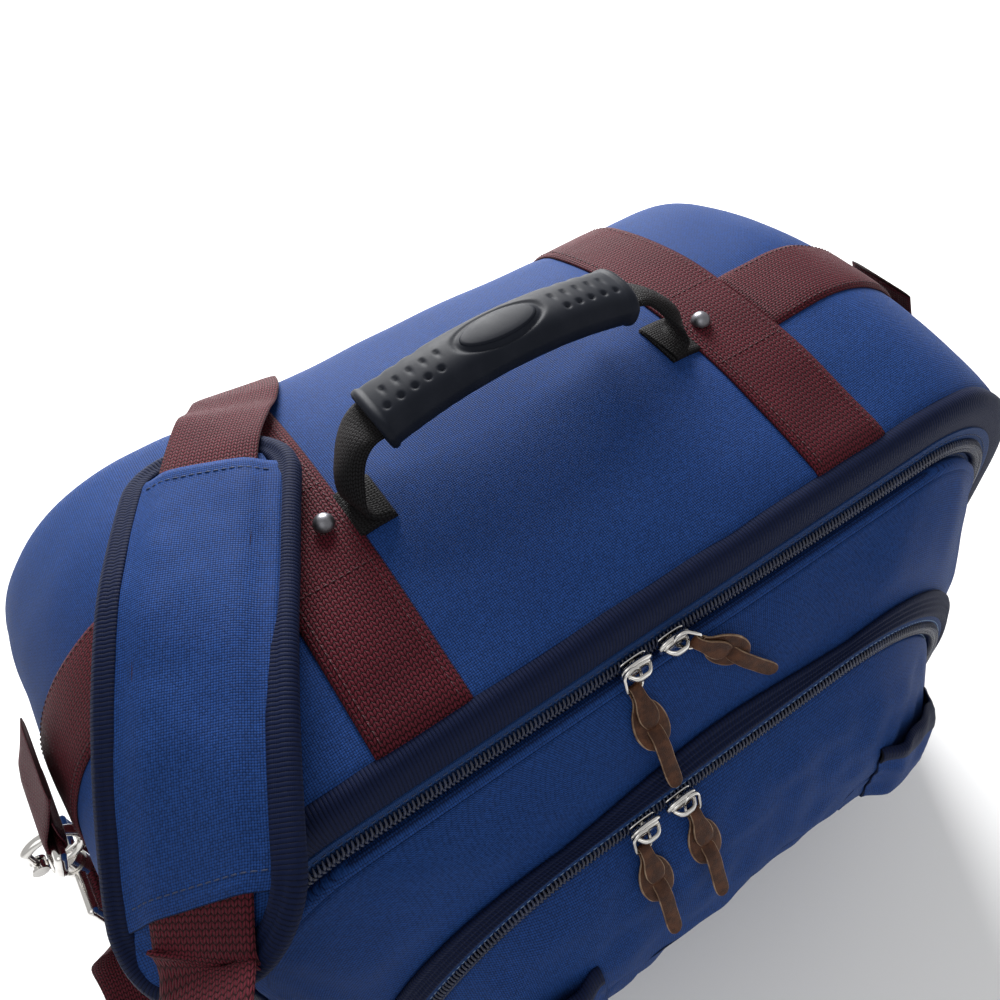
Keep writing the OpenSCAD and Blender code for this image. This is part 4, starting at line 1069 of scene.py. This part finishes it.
PULL_STRIPS = {  # depth, height, half width
    "head": [(1.2, -3.0, 2.6), (1.3, -6, 3.6), (1.1, -10, 6.4), (0.9, -15, 7.9), (0.8, -20, 7.9), (1.0, -24.5, 6.2),
             (1.3, -27.5, 3.0)],
    "tongue": [(2.0, -9, 2.6), (1.9, -4, 2.6), (1.5, 0, 2.6), (0.6, 1.6, 2.6), (-0.7, 1.6, 2.6), (-1.5, 0, 2.6),
               (-1.5, -4, 3.0), (-1.2, -8, 4.2), (-0.9, -12, 4.6), (-0.4, -15.4, 3.6), (0.5, -17.4, 1.8)],
    "tail": [(1.8, -17.0, 2.2), (0.2, -18.6, 3.2), (-1.1, -22, 3.3), (-1.2, -27, 3.5), (-0.5, -33, 3.4),
             (0.2, -39, 3.5), (0.4, -43, 3.0), (0.4, -44.6, 1.6)]}
PULL_CURL = {"head": 1.1, "tongue": 0.3, "tail": 0.2}
PULL_ACROSS = np.array([-1, -0.93, -0.6, -0.25, 0, 0.25, 0.6, 0.93, 1])
CUT_COLUMNS = (0, 7, 8, 9, 16, 17)


def pull(name, at, side, turn, swing, body, node, seed=0):
    """Leather pull: a tongue folded over the bail's bar, a round head and a tail, with pale cut edges."""
    parts, pale = [], []
    for word, key in PULL_STRIPS.items():
        c = catmull(key, 5)
        path = np.stack([0 * c[:, 0], c[:, 0], c[:, 1]], 1)
        up = np.cross(unit(np.gradient(path, axis=0)), [1.0, 0.0, 0.0])
        drift = (1.6 * math.sin(seed) * smooth(-c[:, 1], 16, 44)) if word == "tail" else 0 * c[:, 1]
        across = PULL_ACROSS * c[:, 2][:, None] + drift[:, None]
        mid = path[:, None] + np.array([1.0, 0, 0]) * across[..., None]
        mid[:, :, 1] += PULL_CURL[word] * PULL_ACROSS**2 * smooth(-c[:, 1], 8, 20)[:, None]
        half = up[:, None] * (0.62 * (1 - 0.35 * np.abs(PULL_ACROSS) ** 6))[None, :, None]
        rows = np.concatenate([mid + half, (mid - half)[:, ::-1]], 1)
        m, n = rows.shape[:2]
        parts.append((rows.reshape(-1, 3), tube_faces(m, n)))
        pale += [b in CUT_COLUMNS for b in range(n)] * (m - 1) + [True, True]
    v, faces = join(parts)
    v = hanging(turned(v, "X", 12 - swing) + [side * BAIL_R, 0, -8], side, turn) + at
    if not face_outward(v, faces):
        faces = [f[::-1] for f in faces]
    made = add(name, v, faces, LEATHER, body, replaces=node)
    made.data.materials.append(LEATHER_EDGE)
    made.data.polygons.foreach_set("material_index", [int(x) for x in pale])


MAIN_Z, ORG_Z = FRONT_TOP - ZIP_IN, ORG_TOP - 8
SLOPE = math.degrees(math.atan2(-ORG_Y + DOOR_FRONT, FRONT_TOP - 33 - ORG_TOP))
for word, x, side, turn, swing, y, z, lead in (
        ("left", -21.0, -1, 0, SLOPE + 3, COIL_Y, MAIN_Z, ""), ("right", -2.0, 1, 50, 22, COIL_Y, MAIN_Z, ""),
        ("left", -43.5, -1, 0, 33, ORG_TAPE, ORG_Z, "organiser_"),
        ("right", -24.5, 1, 0, 33, ORG_TAPE, ORG_Z, "organiser_")):
    at = np.array([x, y, z])
    slider_node, bail_node, pull_node = [lead + kind + word for kind in ("slider_", "bail_", "pull_")]
    slider(lead + "slider_shell_" + word, at, slider_node, slider_node)
    bail(lead + "bail_wire_" + word, at, side, turn, slider_node, bail_node)
    pull(lead + "pull_strip_" + word, at, side, turn, swing, pull_node, pull_node, seed=len(lead) + x)

# ---- Shoulder strap ----

PAD_L, PAD_W, PAD_T, PAD_LIFT = 200.0, 72.0, 8.0, 3.8
PAD_TURN = math.radians(27)
P_DIR = np.array([-math.sin(PAD_TURN), -math.cos(PAD_TURN)])
P_SIDE = np.array([-math.cos(PAD_TURN), math.sin(PAD_TURN)])


def pad_point(s, t, h):
    """Point of the pad: s from its back end (0) to its front end (1), t to the side, h above its underside."""
    s, t, h = np.broadcast_arrays(np.asarray(s, float), np.asarray(t, float), np.asarray(h, float))
    c = np.array([-113.0, 64.0]) + P_DIR * (PAD_L * s)[..., None]
    d = P_SIDE * 4
    tilt = (roof_z(c[..., 0] + d[0], c[..., 1] + d[1]) - roof_z(c[..., 0] - d[0], c[..., 1] - d[1])) / 8
    q = c + P_SIDE * t[..., None]
    return np.stack([q[..., 0], q[..., 1], roof_z(c[..., 0], c[..., 1]) + PAD_LIFT + tilt * t + h], -1)


def pad_half(s, edge=0.0):
    """Half width of the pad, with round corners, less an edge."""
    u, r = np.minimum(s, 1 - s) * PAD_L - edge, 26.0
    corner = np.where(u < r, r - np.sqrt(np.maximum(0, r * r - (r - u) ** 2)), 0)
    return np.maximum(PAD_W / 2 - edge - corner, 3.0)


s_rows = np.concatenate([[0.003, 0.01, 0.025, 0.05], np.linspace(0.08, 0.92, 44), [0.95, 0.975, 0.99, 0.997]])
k = np.linspace(-1, 1, 23)
rows = []
for s in s_rows:
    w = pad_half(s, 1.2)
    edge = float(smooth(min(s, 1 - s), 0, 0.07))
    puff = edge * (1 - np.abs(k) ** 5)
    base = pad_point(s, k * w, 0)
    top = pad_point(s, k * w, 4.2 + 2.4 * puff + 0.8 * puff * ripple(base, 30, 60))
    low = pad_point(s, k[::-1] * w, 2.0 - 1.8 * puff[::-1])
    rows.append(np.concatenate([top, low]))
inflate(loft("strap_pad", rows, BLUE, replaces="shoulder_pad"), most=0.8)

rows = []
k = np.linspace(-1, 1, 25)
s_rows = np.linspace(0.105, 0.895, 60)
for s in s_rows:
    w = pad_half(s, 5.4)
    hem = math.exp(-(((s - 0.115) / 0.012) ** 4)) + math.exp(-(((s - 0.885) / 0.012) ** 4))
    puff = 1 - np.abs(k) ** 4
    web = np.exp(-((k * w / 21) ** 8))
    base = pad_point(s, k * w, 0)
    high = 7.4 + 1.9 * (1 - np.abs(k) ** 7) + 3.8 * web
    high = high + puff * (0.7 * hem + 1.0 * ripple(base, 30, 61) + 0.5 * ripple(base, 13, 62))
    top = pad_point(s, k * w, high)
    low = pad_point(s, k[::-1] * w, high[::-1] - 0.8)
    rows.append(np.concatenate([top, low]))
rows = np.array(rows)
loft("pad_sleeve", rows, BLUE, replaces="pad_cover")
lines = []
for s in (0.128, 0.872):
    r = int(np.argmin(abs(s_rows - s)))
    lines.append((rows[r, 2:23] + [0, 0, 0.05], np.broadcast_to([-0.2, 0, 1.0], (21, 3))))
stitches("sleeve_stitches", lines, THREAD)

s = np.concatenate([np.linspace(0.004, 0.12, 16), np.linspace(0.14, 0.86, 40), np.linspace(0.88, 0.996, 16)])
edge = pad_half(s, 1.0)
loop = np.concatenate([pad_point(s, edge, 4.4), pad_point(s, -edge, 4.4)[::-1]])
t = unit(np.roll(loop, -1, 0) - np.roll(loop, 1, 0))
t = unit(t + np.roll(t, 1, 0) + np.roll(t, -1, 0))
away = unit(np.cross(t, np.array([-0.15, 0.0, 1.0])))
away = away * np.sign(((loop - loop.mean(0)) * away).sum(-1).mean())
up = unit(np.cross(away, t))
up = up * np.sign(up[:, 2:3])
PIPE = [(-9.0, 2.6), (-8.6, 3.9), (-6.6, 4.3), (-4.6, 3.7), (-3.4, 4.3), (-1.6, 4.1), (0.4, 2.8), (1.4, 0.8),
        (1.3, -1.6), (0.2, -3.2), (-2.0, -4.0), (-5.4, -4.2), (-8.8, -4.0), (-9.0, -3.0), (-3.0, -2.4), (-1.0, 0.0),
        (-3.0, 2.0)]
sweep("pad_edge", loop, away, up, PIPE, NAVY, closed=True, replaces="pad_binding")

HOOK_X = HALF_L + 9 + 29.5 * math.sin(math.radians(20))
HOOK_Z = 258 - 29.5 * math.cos(math.radians(20)) - 4
BAR_LOW = HOOK_Z - 42.5
WEB_HALF = 0.9


def on_pad(s, up=0):
    """Row of the route on top of the pad."""
    low, high = pad_point(s, -4, 0), pad_point(s, 4, 0)
    return [*pad_point(s, 0, PAD_T + 1.5 + up + WEB_HALF), *(-(high - low) / 8)]


def back_edge(x, a, lift):
    """Point round the back edge, from 0 degrees on the roof to 90 on the back, at a lift above it."""
    a = math.radians(a)
    y = BACK - BACK_R + BACK_R * math.sin(a)
    return [x, y + lift * math.sin(a), float(crown(y)) - BACK_R * (1 - math.cos(a)) + lift * math.cos(a)]


FLOOR_Z = STRAP_W / 2 + 0.8
route = [  # place, width direction
    [HOOK_X, 0, BAR_LOW - 4, 0, 1, 0], [HOOK_X, 0, 150, 0, 1, 0], [HOOK_X, 0, 122, 0, 1, 0],
    [HOOK_X + 0.4, 0.6, 106, 0.1, 1, 0], [HOOK_X + 3, 6, 82, 0.5, 0.86, 0], [262, 22, 56, 0.95, 0.3, 0.1],
    [272, 52, 34, 0.85, 0, 0.5], [281, 88, 23, 0.3, 0, 0.95], [278, 126, FLOOR_Z, 0, 0, 1],
    [256, 158, FLOOR_Z, 0, 0, 1], [218, 173, FLOOR_Z, 0, 0, 1], [160, 169, FLOOR_Z, 0, 0, 1],
    [95, 158, FLOOR_Z, 0, 0, 1], [30, 157, FLOOR_Z, 0, 0, 1], [-25, 166, FLOOR_Z, 0, 0, 1],
    [-62, 168, 27, 0.3, 0.1, 0.95], [-84, 160, 54, 0.8, 0.2, 0.55], [-92, 148, 96, 1, 0.1, 0.1],
    [-91, 139, 160, 1, 0, 0], [-89, 135, 230, 1, 0, 0], back_edge(-88, 84, 5.6) + [1, 0, 0],
    back_edge(-88.4, 58, 5.6) + [1, -0.05, 0], back_edge(-90, 32, 5.6) + [0.98, -0.15, 0],
    back_edge(-92.5, 8, 5.8) + [0.95, -0.3, 0], [-98.5, 90, float(roof_z(-98.5, 90)) + 7.5, 0.92, -0.4, 0],
    [-105, 78, float(roof_z(-105, 78)) + 12.2, 0.89, -0.454, 0],
    *[on_pad(s) for s in (0.03, 0.13, 0.25, 0.4, 0.55, 0.7, 0.82, 0.9)], on_pad(0.95, 1.2), on_pad(0.98, 1.6),
    [-211, -133, 303, 0.85, -0.42, 0.5], [-228, -151, 268, 0.93, -0.33, 0.1], [-240, -153, 226, 0.97, -0.22, 0],
    [-253, -141, 176, 1, -0.1, 0], [-262, -112, 136, 1, 0, 0], [-265, -74, 118, 1, 0, 0],
    [-262, -36, 124, 0.94, 0.2, 0.3], [-257, -12, 140, 0.5, 0.8, 0.3], [-252.4, -1.5, 160, 0.1, 1, 0.05],
    [-HOOK_X, 0, BAR_LOW - 4, 0, 1, 0]]
curve = catmull(route, 10)
ribbon("shoulder_ribbon", curve[:, :3], curve[:, 3:], STRAP_W, 2 * WEB_HALF, MAROON, columns=17,
       replaces="shoulder_webbing")
for side, word in SIDES:  # each end folds round the hook's bar
    x, angles = side * HOOK_X, np.radians(np.linspace(-60, 240, 13))
    arc = [(x + 3.1 * math.cos(a), 0, BAR_LOW + 3.1 * math.sin(a)) for a in angles]
    path = np.array([(x - 0.2, 0, BAR_LOW - 6), *arc, (x - 1.2, 0, BAR_LOW - 8)])
    ribbon("end_fold_" + word, path, facing(BACKWARD, path), STRAP_W, 1.6, MAROON)

# ---- Dividers ----

low, high = 20.8, 230.0
corner = [(-46 - 20 * math.sin(a), high - 20 + 20 * math.cos(a)) for a in np.linspace(0, math.pi / 2, 9)]
shape = np.array([(104, low + 1), (106, low + 3)] + [(106, z) for z in np.linspace(40, 208, 12)]
                 + [(104, 214)] + [(y, high if y < 100 else 215) for y in np.linspace(98, -40, 12)] + corner
                 + [(-66, z) for z in np.linspace(195, low + 5, 12)] + [(-64, low + 1)]
                 + [(y, low + 1) for y in np.linspace(-50, 95, 12)])
mid = shape.mean(0)
for side, word in SIDES:
    right_rows, left_rows = [], []
    for f, t in ((1.0, 0.9), (0.985, 2.3), (0.95, 3.2), (0.85, 3.5), (0.6, 3.6), (0.3, 3.6), (0.04, 3.6)):
        q = mid + (shape - mid) * f
        right_rows.append(np.stack([np.full(len(q), side * 78 + t - 0.2), q[:, 0], q[:, 1]], 1))
        left_rows.append(np.stack([np.full(len(q), side * 78 - t + 0.2), q[:, 0], q[:, 1]], 1))
    made = loft("divider_pad_" + word, left_rows[::-1] + right_rows, LINING, flat=(1, 2),
                replaces="dividers" if side < 0 else ())

# ---- CAD nodes that keep their solids ----

KEPT = {BOARD: ["base_board"], FOOT_RUBBER: ["feet"], DULL: ["foot_rivets", "strap_rivets"],
        NICKEL: ["strap_loops", "d_ring_left", "d_ring_right", "hook_left", "hook_right", "gate_left", "gate_right",
                 "adjuster"]}
for material, nodes in KEPT.items():
    for node in nodes:
        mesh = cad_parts[node].data
        mesh.materials.clear()
        mesh.materials.append(material)

# ---- Studio ----

scene = bpy.context.scene
floor_mesh = bpy.data.meshes.new("floor")
floor_mesh.from_pydata([(-6, -6, 0), (6, -6, 0), (6, 6, 0), (-6, 6, 0)], [], [(0, 1, 2, 3)])
pale = bpy.data.materials.new("pale_floor")
pale.use_nodes = True
pale_shader = pale.node_tree.nodes["Principled BSDF"]
pale_shader.inputs["Base Color"].default_value = (0.93, 0.93, 0.93, 1)
pale_shader.inputs["Roughness"].default_value = 0.9
floor_mesh.materials.append(pale)
floor = bpy.data.objects.new("floor", floor_mesh)
scene.collection.objects.link(floor)
floor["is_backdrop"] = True

world = bpy.data.worlds.new("studio")
world.use_nodes = True
sky = world.node_tree.nodes["Background"]
sky.inputs["Color"].default_value = (1, 1, 1, 1)
sky.inputs["Strength"].default_value = 0.56
scene.world = world


def softbox(name, place, target, size, power):
    """Square studio lamp at a place in metres, turned towards a target."""
    light = bpy.data.lights.new(name, "AREA")
    light.shape, light.size, light.energy = "SQUARE", size, power
    holder = bpy.data.objects.new(name, light)
    holder.location = place
    holder.rotation_euler = (Vector(target) - Vector(place)).to_track_quat("-Z", "Y").to_euler()
    scene.collection.objects.link(holder)
    holder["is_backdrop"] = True


softbox("key", (0.75, 2.1, 1.35), (0, 0, 0.25), 1.2, 150)
softbox("fill", (-1.2, -1.2, 1.9), (0, 0, 0.2), 1.6, 9)

camera = bpy.data.cameras.new("camera")
camera.lens, camera.sensor_width = 32.42, 36
eye = bpy.data.objects.new("camera", camera)
right, up = Vector((0.826953, -0.55880515, -0.06233414)), Vector((0.469867, 0.625901, 0.622474))
look = Vector((0.30882677, 0.54404556, -0.78015412))
axes = Matrix((right, up, -look)).transposed().to_4x4()
eye.matrix_world = Matrix.Translation((-0.14297, -0.22173, 0.60534)) @ axes
scene.collection.objects.link(eye)
scene.camera = eye
scene.view_settings.view_transform = "Standard"

low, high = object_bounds()
